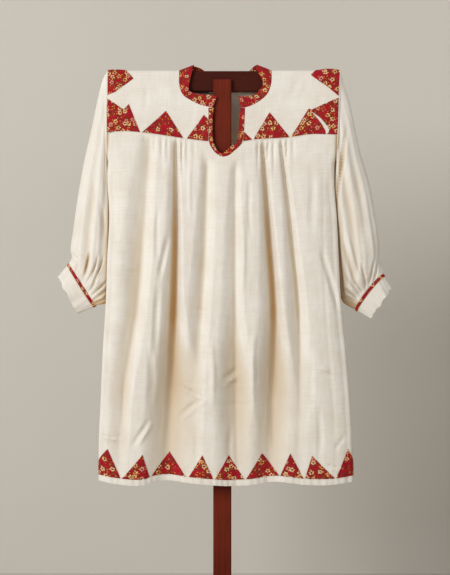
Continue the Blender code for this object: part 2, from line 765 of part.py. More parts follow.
def hem_p(x, face):
    """The column of a skirt panel at a place along the hem, or past its edge by so many millimetres."""
    side = LEFT if x < 0 else RIGHT
    x_left, x_right, ends = flat_ends(HEM_LEVEL, face)
    if x_left <= x <= x_right:
        return FLAT * (2 * (x - x_left) / (x_right - x_left) - 1)
    width, recess, edge, widest = ends[0 if side == LEFT else 1]
    past = abs(x) - abs(edge)
    crown = width / (width + recess)
    if past > 0:
        w = crown + (1 - crown) * past / FOLLOWS_HEM
    else:
        out = past + widest
        w = (width - math.sqrt(max(width**2 - (width + recess) * out, 0.0))) / (width + recess)
    return side * (FLAT + TURN * min(w, 0.985))


def hem_triangle(panel, rows, k, face):
    """The flat outline of one hem triangle."""
    left = hem_p(rows["left"][k], face)
    apex = hem_p(rows["apex"][k], face)
    right = hem_p(rows["right"][k], face)
    foot = PANEL_DROP - SEAM
    return [(left, foot), (right, foot), (apex, foot - rows["height"][k])]


def armhole_loop(side, count):
    """Points round the armhole, from the shoulder down the front and up the back."""
    front = [over_bar(q) for q in np.linspace(0, OVER, 8)]
    bottom = underarm_height(side)
    top = SHOULDER - CORNER
    falls = [top + (bottom - top) * math.sin(math.pi / 2 * k / 24) for k in range(1, 25)]
    for z in falls:
        front.append((read(DEPTH, "z", "front", z) + armhole_pull(side, z, "front"), z))
    back = [over_bar(-q) for q in np.linspace(0, OVER, 8)]
    for z in falls:
        back.append((read(DEPTH, "z", "back", z) - armhole_pull(side, z, "back"), z))
    loop = np.array(front + back[::-1])
    steps = np.linalg.norm(np.diff(loop, axis=0, append=loop[:1]), axis=1)
    run = np.concatenate([[0], np.cumsum(steps)])
    loop = np.vstack([loop, loop[:1]])
    wanted = np.arange(count) * run[-1] / count
    return np.stack([np.interp(wanted, run, loop[:, k]) for k in range(2)], axis=1)


def sleeve_furrow(side, angle, part):
    """Depth of the lengthwise furrows and of the gathers above the cuff."""
    total = 0.0
    levels = (0, 2.25, 4.5, 6.75, 9)
    for middle, half, depths in SLEEVE_FURROWS[side]:
        offset = (math.degrees(angle) - middle + 180) % 360 - 180
        depth = float(np.interp(part, levels, depths))
        total += depth * furrow(offset, half, half)
    near = ease((part - 6.5) / 1.5) * (1 - 0.55 * ease((part - 8.5) / 0.5))
    total += CUFF_GATHER_DEPTH * near * (0.5 - 0.5 * math.cos(CUFF_GATHERS * angle))
    return total


def sleeve_ring(side, part):
    """One ring of a sleeve."""
    rows = SLEEVES[side]
    outer = np.array([read(rows, "part", "outer_x", part), 0, read(rows, "part", "outer_z", part)])
    inner = np.array([read(rows, "part", "inner_x", part), 0, read(rows, "part", "inner_z", part)])
    loop = armhole_loop(side, SLEEVE_COLUMNS)
    middle_z = (loop[:, 1].max() + loop[:, 1].min()) / 2
    half_z = (loop[:, 1].max() - loop[:, 1].min()) / 2
    middle_y = (loop[:, 0].max() + loop[:, 0].min()) / 2
    half_y = (loop[:, 0].max() - loop[:, 0].min()) / 2
    near = 1 - ease(part / 2.6)
    half = max(read(rows, "part", "half", part), 20) if part < 1 else read(rows, "part", "half", part)
    half = near * half_y + (1 - near) * half
    middle = near * middle_y + (1 - near) * read(rows, "part", "middle", part)
    centre = (outer + inner) / 2
    chord = (outer - inner) / 2
    length = np.linalg.norm(chord)
    ring = []
    for k in range(SLEEVE_COLUMNS):
        angle = 2 * math.pi * k / SLEEVE_COLUMNS
        along = (loop[k, 1] - middle_z) / half_z * near + math.cos(angle) * (1 - near)
        depth = (loop[k, 0] - middle_y) / half_y * near - math.sin(angle) * (1 - near)
        shrink = sleeve_furrow(side, angle, part)
        along *= 1 - shrink / length
        depth *= 1 - shrink / half
        point = centre + chord * along
        point[1] = middle + half * depth
        if part == 0:
            point[0] = outline_at(side, point[2]) + side * SEAM
        ring.append(point)
    return np.array(ring)


def cuff_ring(side, run, waves):
    """A ring of the cuff, so many millimetres below the sleeve's end."""
    rows = SLEEVES[side]
    end = CUFF_ENDS[side]
    outer = np.array([rows["outer_x"][-1], 0, rows["outer_z"][-1]])
    inner = np.array([rows["inner_x"][-1], 0, rows["inner_z"][-1]])
    share = run / CUFF_LENGTH
    outer = outer + (np.array([end[0], 0, end[1]]) - outer) * share
    inner = inner + (np.array([end[2], 0, end[3]]) - inner) * share
    half = rows["half"][-1] + (CUFF_HALF - rows["half"][-1]) * share
    centre = (outer + inner) / 2
    chord = (outer - inner) / 2
    count, depth = waves
    ring = []
    for k in range(SLEEVE_COLUMNS):
        angle = 2 * math.pi * k / SLEEVE_COLUMNS
        grow = 1 + depth * share * math.cos(count * angle + 1) / half
        point = centre + chord * math.cos(angle) * (1 + (grow - 1) * half / np.linalg.norm(chord))
        point[1] = rows["middle"][-1] - half * math.sin(angle) * grow
        ring.append(point)
    return np.array(ring)


def sleeve(side, name, muslin, calico):
    """A sleeve with its piping and cuff."""
    rings = np.array([sleeve_ring(side, part) for part in SLEEVE_PARTS])
    normals = ring_normals(rings)
    end = CUFF_ENDS[side]
    rows = SLEEVES[side]
    start_x = rows["outer_x"][-1] + rows["inner_x"][-1]
    start_z = rows["outer_z"][-1] + rows["inner_z"][-1]
    fall = np.array([end[0] + end[2] - start_x, 0, end[1] + end[3] - start_z])
    flatten(normals, 0, (1, 0, 0))
    flatten(normals, -1, fall)
    tube("sleeve_" + name, rings, normals, -MUSLIN, 0, muslin)
    starts = (SEAM, SEAM + PIPING)
    strip(side, "cuff_piping_" + name, starts, fall, (-BAND, 1.0), calico)
    starts = (2 * SEAM + PIPING, 0.6 * CUFF_LENGTH, CUFF_LENGTH)
    strip(side, "cuff_" + name, starts, fall, (-BAND, 0.2), muslin)


def strip(side, name, runs, fall, wall, finish):
    """A short tube round the sleeve's end."""
    rings = np.array([cuff_ring(side, run, CUFF_WAVES[side]) for run in runs])
    normals = ring_normals(rings)
    flatten(normals, 0, fall)
    flatten(normals, -1, fall)
    tube(name, rings, normals, wall[0], wall[1], finish)


def hem_band(front, back, muslin):
    """One band all round under the skirt panels."""
    upper = np.vstack([front.points[:, -1], back.points[::-1, -1]])
    level = np.vstack([front.normals[:, -1], back.normals[::-1, -1]])
    keep = np.ones(len(upper), bool)
    keep[[len(front.columns), len(upper) - 1]] = False
    upper = upper[keep]
    level = level[keep]
    upper[[0, len(front.columns) - 1], 1] = SEAM_Y
    upper[:, 2] -= SEAM
    lower = upper.copy()
    lower[:, 2] -= HEM_BAND
    rings = np.array([upper, lower])
    tube("hem_band", rings, np.array([level, level]), -BAND, 0.4, muslin)


def band_point(x, z, over):
    """Where a point of the neckband's edge lies on the yoke's flat pattern; back heights are negative."""
    if over:
        return yoke_spot(x, None, over)
    if z < 0:
        return yoke_spot(x, -z, face="back")
    return yoke_spot(x, z)


def neck_stations():
    """The neckband's outer and inner edge on the yoke's flat pattern."""
    rows = NECKBAND
    count = len(rows["lift"])
    outer = [band_point(rows["outer_x"][k], rows["outer_z"][k], rows["outer_over"][k]) for k in range(count)]
    inner = [band_point(rows["inner_x"][k], rows["inner_z"][k], rows["inner_over"][k]) for k in range(count)]
    return outer, inner


def lifted(p, q, lift):
    """A point over the yoke's surface."""
    step = 0.5
    point = np.array(yoke_place(p, q))
    across = np.array(yoke_place(p + step, q)) - point
    down = np.array(yoke_place(p, q + step)) - point
    normal = np.cross(down, across)
    return point + lift * normal / np.linalg.norm(normal)


def strip_panel(outer, inner, lifts, rows):
    """A band between two edges of the yoke's flat pattern, its inner edge lifted."""
    def place(k, w):
        k = int(k)
        p = outer[k][0] + (inner[k][0] - outer[k][0]) * w
        q = outer[k][1] + (inner[k][1] - outer[k][1]) * w
        return lifted(p, q, lifts[k] * w * w)
    return Panel(range(len(outer)), rows, place, 1)


def moved(points, distance):
    """A line of flat points moved to its right."""
    points = np.array(points)
    steps = np.diff(points, axis=0)
    steps /= np.linalg.norm(steps, axis=1, keepdims=True)
    sides = np.stack([steps[:, 1], -steps[:, 0]], axis=1)
    ways = np.vstack([sides[:1], sides[:-1] + sides[1:], sides[-1:]])
    ways /= np.linalg.norm(ways, axis=1, keepdims=True)
    return [tuple(point) for point in points + ways * distance]


def facing_out(panel):
    """Turns a panel's normals away from the stand's middle."""
    centre = np.array([SLIT_FOOT[0], (FRONT_FACE + BACK_FACE) / 2, SEAM_LEVEL])
    if ((panel.points - centre) * panel.normals)[..., 1].sum() < 0:
        panel.normals *= -1


def front_surface(x, z):
    """The smooth front at a place, on the yoke or just under it."""
    return np.array([x, face_depth(x, z, "front"), z])


def binding_panel():
    """The strip round the front slit."""
    rows = BINDING

    def place(k, w):
        k = int(k)
        x = rows["outer_x"][k] + (rows["inner_x"][k] - rows["outer_x"][k]) * w
        z = rows["outer_z"][k] + (rows["inner_z"][k] - rows["outer_z"][k]) * w
        return front_surface(x, z)
    panel = Panel(range(len(rows["outer_x"])), BINDING_ROWS, place, 1)
    facing_out(panel)
    panel.square((0, slice(None)), 2)
    panel.square((-1, slice(None)), 2)
    return panel


def slit_lines():
    """The slit's outer line above and below the yoke's seam, as points from the front."""
    line = moved(list(zip(BINDING["outer_x"], BINDING["outer_z"])), SEAM)
    return line[:4], line[4:-3], line[-3:]


def yoke_outline():
    """The yoke's edge on its flat pattern, with neck hole and slit."""
    outer, _ = neck_stations()
    neck = moved(outer, SEAM)
    left, _, right = slit_lines()
    end = OVER + DROP
    feet = [BINDING["outer_x"][4] - SEAM, BINDING["outer_x"][-4] + SEAM]
    left_foot, right_foot = [yoke_spot(x, seam_height(x, "front"))[0] for x in feet]
    left = [yoke_spot(x, z) for x, z in left]
    right = [yoke_spot(x, z) for x, z in right]
    edge = [(0, end), (left_foot, end)] + left[::-1] + neck + right[::-1] + [(right_foot, end)]
    return edge + [(YOKE_SPAN, end), (YOKE_SPAN, -end), (0, -end)]


def skirt_notch():
    """The U at the top of the front skirt, on its flat pattern."""
    _, under, _ = slit_lines()
    spots = []
    for x, z in under:
        x_left, x_right, _ = flat_ends(z, "front")
        p = FLAT * (2 * (x - x_left) / (x_right - x_left) - 1)
        top, hem = panel_span(p, "front")
        spots.append((p, max((top - z) / (top - hem) * PANEL_DROP, 0.0)))
    spots[0] = (spots[0][0], 0.0)
    spots[-1] = (spots[-1][0], 0.0)
    return spots


def timber(name, low, high, finish):
    """A planed board with eased edges."""
    mesh = bpy.data.meshes.new(name)
    form = bmesh.new()
    bmesh.ops.create_cube(form, size=1.0)
    for vert in form.verts:
        vert.co = Vector([low[k] + (vert.co[k] + 0.5) * (high[k] - low[k]) for k in range(3)]) * 0.001
    bmesh.ops.bevel(form, geom=form.edges[:], offset=EDGE_ROUND * 0.001, segments=1, affect="EDGES")
    form.to_mesh(mesh)
    form.free()
    mesh.materials.append(finish)
    made = bpy.data.objects.new(name, mesh)
    bpy.context.scene.collection.objects.link(made)
    return made


def notched_post(name, finish):
    """The post, its upper end cut back so that it laps over the front of the crossbar."""
    half = POST_WIDTH / 2
    front = -POST_DEPTH / 2
    lap = front + LAP_DEPTH
    top = BAR_TOP - LAP_DROP
    seat = BAR_TOP - BAR_HEIGHT - SEAM
    foot = BASE_THICK + SEAM
    back = POST_DEPTH / 2
    side = [(front, foot), (back, foot), (back, seat), (lap, seat), (lap, top), (front, top)]
    form = bmesh.new()
    near = [form.verts.new((-half * 0.001, y * 0.001, z * 0.001)) for y, z in side]
    face = form.faces.new(near)
    grown = bmesh.ops.extrude_face_region(form, geom=[face])
    for item in grown["geom"]:
        if isinstance(item, bmesh.types.BMVert):
            item.co.x += POST_WIDTH * 0.001
    bmesh.ops.recalc_face_normals(form, faces=form.faces)
    outer = [e for e in form.edges if abs(e.calc_face_angle(0)) > 1 and all(v.co.y < 0 for v in e.verts)
             and abs(e.verts[0].co.z - e.verts[1].co.z) > 0.5]
    bmesh.ops.bevel(form, geom=outer, offset=EDGE_ROUND * 0.001, segments=2, affect="EDGES")
    mesh = bpy.data.meshes.new(name)
    form.to_mesh(mesh)
    form.free()
    mesh.materials.append(finish)
    made = bpy.data.objects.new(name, mesh)
    bpy.context.scene.collection.objects.link(made)
    return made


def build_stand(wood):
    """Base board, post and crossbar."""
    side = BASE_SIDE / 2
    timber("base_board", (-side, -side, 0), (side, side, BASE_THICK), wood)
    notched_post("post", wood)
    low = (BAR_ENDS[0], BAR_FRONT, BAR_TOP - BAR_HEIGHT)
    timber("crossbar", low, (BAR_ENDS[1], BAR_BACK, BAR_TOP), wood)


def build_yoke(muslin, calico):
    """The yoke, its bands and its triangles."""
    yoke = yoke_panel()
    sewn("yoke", yoke, yoke_outline(), -MUSLIN, 0, muslin)
    outer, inner = neck_stations()
    band = strip_panel(outer, inner, NECKBAND["lift"], NECKBAND_ROWS)
    facing_out(band)
    sewn("neckband", band, band.border(), -MUSLIN, BAND - MUSLIN, calico)
    binding = binding_panel()
    sewn("slit_binding", binding, binding.border(), -MUSLIN, BAND - MUSLIN, calico)
    for face, patches in (("front", YOKE_FRONT), ("back", YOKE_BACK)):
        for name, corners in patches.items():
            outline = [yoke_spot(x, z, over, face) for x, z, over in corners]
            sewn("triangle_" + name, yoke, outline, SEAM, SEAM + CALICO, calico)


def build_skirt(muslin, calico):
    """The skirt panels, the hem band and the hem triangles."""
    front = skirt_panel("front", FRONT_ZONES)
    back = skirt_panel("back", BACK_ZONES)
    corners = front.border()
    outline = [corners[0]] + skirt_notch() + corners[1:]
    sewn("skirt_front", front, outline, -MUSLIN, 0, muslin)
    sewn("skirt_back", back, back.border(), -MUSLIN, 0, muslin)
    hem_band(front, back, muslin)
    for face, panel, rows in (("front", front, FRONT_HEM), ("back", back, BACK_HEM)):
        for k in range(len(rows["apex"])):
            outline = hem_triangle(panel, rows, k, face)
            sewn(f"hem_{face}_{k + 1}", panel, outline, SEAM, SEAM + CALICO, calico)


def build():
    """The dress on its stand."""
    for old in list(bpy.data.objects):
        bpy.data.objects.remove(old, do_unlink=True)
    muslin = material("unbleached muslin", MUSLIN_COLOUR, 0.9)
    calico = material("red calico", CALICO_COLOUR, 0.85)
    wood = material("stained pine", WOOD_COLOUR, 0.5)
    build_stand(wood)
    build_yoke(muslin, calico)
    build_skirt(muslin, calico)
    sleeve(LEFT, "left", muslin, calico)
    sleeve(RIGHT, "right", muslin, calico)


build()
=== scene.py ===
"""A muslin dress with red calico trim, hung on a stained wooden T-stand.

The frame: +Z up, the front faces -Y, the origin is on the floor under the middle of the post.
Cloth is worked out in millimetres and made in metres. Left and right are as seen from the front.
"""

import math

import bpy
import numpy as np
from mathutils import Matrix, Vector
from mathutils.geometry import delaunay_2d_cdt


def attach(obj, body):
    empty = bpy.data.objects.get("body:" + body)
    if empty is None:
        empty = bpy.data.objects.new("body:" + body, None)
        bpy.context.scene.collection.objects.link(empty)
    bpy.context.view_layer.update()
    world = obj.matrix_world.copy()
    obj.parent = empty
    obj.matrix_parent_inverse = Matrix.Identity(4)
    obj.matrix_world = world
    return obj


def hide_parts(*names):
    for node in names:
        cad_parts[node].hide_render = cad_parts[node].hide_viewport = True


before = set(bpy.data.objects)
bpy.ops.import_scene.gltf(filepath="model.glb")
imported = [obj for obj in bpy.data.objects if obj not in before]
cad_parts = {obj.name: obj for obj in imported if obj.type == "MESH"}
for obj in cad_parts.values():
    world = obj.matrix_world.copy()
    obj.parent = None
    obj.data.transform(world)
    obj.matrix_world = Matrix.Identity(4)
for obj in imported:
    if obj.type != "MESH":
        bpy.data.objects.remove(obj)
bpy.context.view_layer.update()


# Stand: base board, post and crossbar of planed pine, stained dark red-brown and wiped.
# The post is lapped over the front of the crossbar and stands square on the board.
# Each board's grain direction and the lightest and darkest tone of its stain
BOARDS = {
    "base_board": ("X", "#6E2817", "#47160D"),
    "post": ("Z", "#7C2C18", "#5A1C0E"),
    "crossbar": ("X", "#4C1A0F", "#43130A"),
}
GRAIN_WIDTH = 2.2
GRAIN_LENGTH = 90.0


def linear(text):
    """Turns an sRGB hex colour to linear, with alpha."""
    parts = [int(text[k:k + 2], 16) / 255 for k in (1, 3, 5)]
    return tuple(p / 12.92 if p <= 0.04045 else ((p + 0.055) / 1.055) ** 2.4 for p in parts) + (1.0,)


def node(tree, kind, inputs=None, **settings):
    """Adds a node with its settings and links."""
    made = tree.nodes.new(kind)
    for name, value in settings.items():
        setattr(made, name, value)
    for name, value in (inputs or {}).items():
        if isinstance(value, bpy.types.NodeSocket):
            tree.links.new(value, made.inputs[name])
        else:
            made.inputs[name].default_value = value
    return made


def finish_named(name):
    """A new material, its tree and its shader."""
    made = bpy.data.materials.new(name)
    made.use_nodes = True
    return made, made.node_tree, made.node_tree.nodes["Principled BSDF"]


def figure(tree, operation, *values):
    """A sum worked out in a material."""
    return node(tree, "ShaderNodeMath", dict(enumerate(values)), operation=operation).outputs[0]


def noise(tree, place, scale, detail, flat=False, **more):
    """Smooth noise about 0.5, in space or on the flat cloth."""
    inputs = {"Vector": place, "Scale": scale, "Detail": detail, **more}
    return node(tree, "ShaderNodeTexNoise", inputs, noise_dimensions="2D" if flat else "3D").outputs["Fac"]


def spread(tree, value, low, high, least=0.0, most=1.0):
    """A value stretched from one range to another."""
    return node(tree, "ShaderNodeMapRange", {"Value": value, "From Min": low, "From Max": high,
                                             "To Min": least, "To Max": most}).outputs[0]


def mixed(tree, share, under, over, blend="MIX"):
    """Two colours mixed."""
    made = node(tree, "ShaderNodeMix", {0: share, 6: under, 7: over}, data_type="RGBA", blend_type=blend)
    return made.outputs[2]


def coat(tree, shader, colour, values, relief=None):
    """A shader's colour, the values that are the same all over, and its relief: height, strength, metres."""
    tree.links.new(colour, shader.inputs["Base Color"])
    for name, value in values.items():
        shader.inputs[name].default_value = value
    if relief:
        bump = node(tree, "ShaderNodeBump", dict(zip(("Height", "Strength", "Distance"), relief)))
        tree.links.new(bump.outputs[0], shader.inputs["Normal"])


def stained_pine(piece, along, light, dark):
    """Stained pine: long grain streaks, darker late wood and a dull wiped film of stain."""
    made, tree, shader = finish_named("stained pine " + piece)
    place = node(tree, "ShaderNodeTexCoord").outputs["Object"]
    size = [1000 / GRAIN_WIDTH] * 3
    size["XYZ".index(along)] = 1000 / GRAIN_LENGTH
    streaks = node(tree, "ShaderNodeMapping", {"Vector": place, "Scale": size}).outputs[0]
    grain = noise(tree, streaks, 0.45, 4.0, Roughness=0.6, Distortion=0.4)
    pores = noise(tree, streaks, 2.2, 2.0)
    both = figure(tree, "ADD", grain, noise(tree, place, 7.0, 2.0))
    colour = mixed(tree, spread(tree, both, 0.72, 1.3), linear(dark), linear(light))
    colour = mixed(tree, 1.0, colour, spread(tree, pores, 0.3, 0.5, 0.72, 1.0), "MULTIPLY")
    coat(tree, shader, colour, {"Specular IOR Level": 0.12}, (pores, 0.25, 0.0004))
    tree.links.new(spread(tree, grain, 0, 1, 0.5, 0.7), shader.inputs["Roughness"])
    return made


for name, stain in BOARDS.items():
    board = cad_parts[name]
    board.data.materials.clear()
    board.data.materials.append(stained_pine(name, *stain))


# Yoke: one piece of unbleached muslin, folded over both shoulders and lying on the crossbar.
# It carries the neck hole and the front slit, and its lower edges are seamed to the gathered skirt.
MUSLIN_LIGHT = "#F5F2EA"
MUSLIN_DARK = "#EBE4D8"
SEED_FLECK = "#B79A6E"
FLECK_SPACING = 14.0
FLECK_SIZE = 0.035
# Painted shade: the warm, darker tones that deep folds are tinted towards, and the share of them painted on
# every inner face of the cloth
FOLD_SHADE_TONES = ("#D9C9B0", "#BE945F")
INSIDE_SHADE = 0.15
THREAD_PITCH = 0.9
SLUB_WIDTH = 1.7
SLUB_LENGTH = 55.0
MUSLIN = 0.8
# How far from a piece's outer face the two sides of the muslin lie
MUSLIN_WALL = (-MUSLIN - 0.1, -0.1)
SEAM = 0.3
CELL = 3.0
SHOULDER = 1302.0
CORNER = 6.0
FRONT_FACE = -8.0
BACK_FACE = 20.6
MIDDLE = (FRONT_FACE + BACK_FACE) / 2
TOP_FLAT = (BACK_FACE - FRONT_FACE) / 2 - CORNER
OVER = TOP_FLAT + CORNER * math.pi / 2
DROP = 140.0
YOKE_SPAN = 510.0
SEAM_LEVEL = 1155.0
HEM_LEVEL = 406.0
PANEL_DROP = 757.0
UNDERARM = 61.0
SEAM_Y = 3.0
ARMHOLE_FADE = 50.0
ARMHOLE_MARGIN = 35.0
ARMHOLE_SET_BACK = 3.5
SLIT_FOOT = (6.0, 1142.0)
CREASE_STEPS = 25
SHARP_ANGLE = 50
POST_SWELL = 2.5
SWELL_WIDTH = 55.0
LEFT = -1
RIGHT = 1


def table(columns, rows):
    """Names the columns of a short table."""
    return {name: np.array(values, float) for name, values in zip(columns.split(), zip(*rows))}


OUTLINE = table("z left right", [
    (1302, -254, 262), (1252, -254, 259), (1165, -255.5, 255.5), (1100, -255, 250), (1050, -253, 247),
    (981, -249, 252), (882, -253.5, 256.5), (794, -256, 261), (684, -262.5, 272), (574, -267, 281),
    (486, -271, 285.5), (390, -270, 287),
])
DEPTH = table("z front back", [
    (1296, FRONT_FACE, BACK_FACE), (1270, -13, 24), (1240, -18, 27), (1160, -23, 31), (1060, -30, 36),
    (900, -38, 42), (700, -46, 48), (390, -54, 54),
])
YOKE_SEAM = table("x front back", [
    (-256, 1161.5, 1161), (-216, 1165, 1161), (-177, 1162.5, 1160), (-82, 1148, 1157), (-29, 1142, 1156),
    (8, 1140.5, 1156), (44, 1142, 1156), (78, 1145.5, 1156.5), (149, 1151.5, 1158), (197, 1158.5, 1157),
    (256, 1157, 1157),
])
HEM_SEAM = table("x front back", [
    (-270, 413, 413), (-221, 405.5, 410), (-166, 405, 406), (-155, 409.5, 406), (-115, 412.5, 409),
    (-80, 409, 412), (-20, 404.5, 407), (15, 402, 404), (54, 403.5, 406), (125, 410.5, 411),
    (177, 405.5, 408), (215, 404.5, 405), (246, 406, 407), (287, 411, 411),
])
# Soft creases: three points of a bend as x and z, half-width and depth, a ridge where the depth is negative
YOKE_CREASES = table("x0 z0 x1 z1 x2 z2 half depth", [
    (-168, 1268, -166, 1240, -172, 1205, 9, 1.2),
    (-118, 1284, -112, 1262, -116, 1232, 12, -0.8),
    (170, 1285, 158, 1262, 148, 1235, 12, 1.4),
    (128, 1262, 134, 1236, 128, 1214, 10, -0.8),
    (-228, 1212, -200, 1196, -170, 1188, 10, -0.9),
    (-60, 1222, -66, 1200, -72, 1176, 8, 0.9),
    (92, 1226, 96, 1206, 90, 1188, 8, 0.9),
    (222, 1250, 214, 1226, 206, 1214, 9, 1.0),
])
YOKE_BACK_CREASES = table("x0 z0 x1 z1 x2 z2 half depth", [
    (-170, 1276, -160, 1240, -168, 1196, 11, 1.2),
    (-92, 1262, -70, 1236, -64, 1200, 11, 1.1),
    (84, 1266, 66, 1236, 62, 1204, 11, 1.2),
    (166, 1280, 158, 1244, 170, 1200, 12, 1.2),
    (4, 1246, -2, 1220, 6, 1180, 10, -0.8),
])


def curve(rows, given, wanted, at):
    """Reads a column at values between the rows, on a smooth curve."""
    xs, ys = rows[given], rows[wanted]
    if xs[0] > xs[-1]:
        xs, ys = xs[::-1], ys[::-1]
    at = np.clip(at, xs[0], xs[-1])
    i = np.clip(np.searchsorted(xs, at, side="right") - 1, 0, len(xs) - 2)
    slopes = np.diff(ys) / np.diff(xs)
    before = slopes[np.maximum(i - 1, 0)]
    after = slopes[np.minimum(i + 1, len(slopes) - 1)]
    step = xs[i + 1] - xs[i]
    u = (at - xs[i]) / step
    start = (before + slopes[i]) / 2 * step
    end = (after + slopes[i]) / 2 * step
    rise = ys[i + 1] - ys[i]
    return ys[i] + start * (u - 2 * u**2 + u**3) + rise * (3 * u**2 - 2 * u**3) + end * (u**3 - u**2)


def ease(u):
    """0 to 1 with flat ends."""
    u = np.clip(u, 0.0, 1.0)
    return u * u * (3 - 2 * u)


def face_depth(x, z, face):
    """The smooth depth of the front or back, before folds."""
    depth = curve(DEPTH, "z", face, z)
    if face == "front":
        swell = POST_SWELL * np.exp(-((x - SLIT_FOOT[0]) / SWELL_WIDTH) ** 2)
        depth = depth - swell * ease((SHOULDER - CORNER - z) / 40)
    return depth


def underarm_height(side):
    """Where the armhole ends and the side seam begins."""
    top = curve(YOKE_SEAM, "x", "front", side * 256)
    hem = curve(HEM_SEAM, "x", "front", side * 287)
    return top - (top - hem) * UNDERARM / PANEL_DROP


def armhole_pull(side, z, face):
    """How far the armhole's edge lies back from the panel's face."""
    shallow = ARMHOLE_SET_BACK * ease((SHOULDER - CORNER - z) / ARMHOLE_FADE)
    bottom = underarm_height(side)
    reach = SEAM_Y - SEAM / 2 - curve(DEPTH, "z", "front", bottom)
    if face == "back":
        reach = curve(DEPTH, "z", "back", bottom) - SEAM_Y - SEAM / 2
    u = np.clip((bottom + ARMHOLE_FADE - z) / ARMHOLE_FADE, 0.0, 1.0)
    return shallow + (reach - shallow) * (1 - np.sqrt(1 - u * u))


def crease_depth(rows, x, z):
    """How far the soft creases push the cloth in at each place."""
    total = np.zeros(np.shape(x))
    for k in range(len(rows["half"])):
        ends = [(rows[f"x{n}"][k], rows[f"z{n}"][k]) for n in range(3)]
        reach = 1.5 * rows["half"][k]
        near = ((x > min(e[0] for e in ends) - reach) & (x < max(e[0] for e in ends) + reach)
                & (z > min(e[1] for e in ends) - reach) & (z < max(e[1] for e in ends) + reach))
        if not near.any():
            continue
        t = np.linspace(0, 1, CREASE_STEPS)[:, None]
        path_x = (1 - t)**2 * ends[0][0] + 2 * t * (1 - t) * ends[1][0] + t**2 * ends[2][0]
        path_z = (1 - t)**2 * ends[0][1] + 2 * t * (1 - t) * ends[1][1] + t**2 * ends[2][1]
        far = np.hypot(path_x - x[near], path_z - z[near])
        where = far.argmin(axis=0)
        fade = np.sin(np.pi * np.clip((where + 0.5) / CREASE_STEPS, 0, 1)) ** 0.7
        u = np.clip(far.min(axis=0) / rows["half"][k], 0, 1)
        total[near] += rows["depth"][k] * fade * (1 - u * u) ** 2
    return total


def softness(x, z, seed, size, count=7):
    """A gentle unevenness of the cloth, from -1 to 1, in waves about so many millimetres long."""
    draw = np.random.default_rng(seed)
    total = np.zeros(np.shape(x))
    for _ in range(count):
        turn = draw.uniform(0, math.pi)
        wave = 2 * math.pi / (size * draw.uniform(0.6, 1.8))
        total += np.sin((x * math.cos(turn) + z * math.sin(turn)) * wave + draw.uniform(0, 6.28))
    return total / count * 1.6


def yoke_place(p, q):
    """Points of the yoke: p across from the left edge, q along the cloth over the shoulder."""
    p, q = np.broadcast_arrays(np.asarray(p, float), np.asarray(q, float))
    run = np.abs(q)
    away = np.where(q >= 0, -1.0, 1.0)
    turn = np.clip((run - TOP_FLAT) / CORNER, 0, math.pi / 2)
    on_top = np.minimum(run, TOP_FLAT)
    arc_y = MIDDLE + away * (on_top + CORNER * np.sin(turn))
    arc_z = SHOULDER - CORNER * (1 - np.cos(turn))
    across = p / YOKE_SPAN
    seam_left = curve(OUTLINE, "z", "left", SEAM_LEVEL)
    seam_x = seam_left + (curve(OUTLINE, "z", "right", SEAM_LEVEL) - seam_left) * across
    top = SHOULDER - CORNER
    seam = np.where(q >= 0, curve(YOKE_SEAM, "x", "front", seam_x), curve(YOKE_SEAM, "x", "back", seam_x))
    fall_z = top + (seam - top) * (run - OVER) / DROP
    z = np.where(run <= OVER, arc_z, fall_z)
    left = curve(OUTLINE, "z", "left", z)
    x = left + (curve(OUTLINE, "z", "right", z) - left) * across
    side = np.where(across < 0.5, LEFT, RIGHT)
    margin = np.clip(1 - np.minimum(across, 1 - across) * YOKE_SPAN / ARMHOLE_MARGIN, 0, 1)
    y = arc_y.copy()
    for face, sign, creases in (("front", -1, YOKE_CREASES), ("back", 1, YOKE_BACK_CREASES)):
        here = (run > OVER) & (away == sign)
        pull = np.where(side < 0, armhole_pull(LEFT, z, face), armhole_pull(RIGHT, z, face))
        fall_y = face_depth(x, z, face) - sign * pull * margin**2
        hush = ease((top - z) / 30) * ease((z - seam) / 12) * (1 - margin)
        fall_y = fall_y - sign * hush * (crease_depth(creases, x, z) + 0.5 * softness(x, z, 3, 60))
        y = np.where(here, fall_y, y)
    return np.stack([x, y, z], axis=-1)


def yoke_spot(x, z, over=0, face="front"):
    """Where a place on the yoke lies on its flat pattern."""
    height = SHOULDER if z is None else z
    left = curve(OUTLINE, "z", "left", height)
    p = (x - left) / (curve(OUTLINE, "z", "right", height) - left) * YOKE_SPAN
    if z is None:
        return float(p), over
    top = SHOULDER - CORNER
    seam_left = curve(OUTLINE, "z", "left", SEAM_LEVEL)
    seam_x = seam_left + (curve(OUTLINE, "z", "right", SEAM_LEVEL) - seam_left) * p / YOKE_SPAN
    q = OVER + DROP * (top - z) / (top - curve(YOKE_SEAM, "x", face, seam_x))
    q = min(q, OVER + DROP)
    return float(p), float(q if face == "front" else -q)


def grid_lines(low, high, cell):
    """Evenly spaced lines from low to high."""
    return np.linspace(low, high, max(2, round((high - low) / cell) + 1))


def inside(spots, outline):
    """Which flat points lie inside an outline."""
    found = np.zeros(len(spots), bool)
    for a, b in zip(outline, np.roll(outline, -1, axis=0)):
        crosses = (a[1] > spots[:, 1]) != (b[1] > spots[:, 1])
        if a[1] != b[1]:
            found ^= crosses & (spots[:, 0] < a[0] + (spots[:, 1] - a[1]) / (b[1] - a[1]) * (b[0] - a[0]))
    return found


def signed_area(outline):
    """An outline's area, negative where it runs the other way round."""
    turned = np.roll(outline, -1, axis=0)
    return (outline[:, 0] * turned[:, 1] - turned[:, 0] * outline[:, 1]).sum() / 2


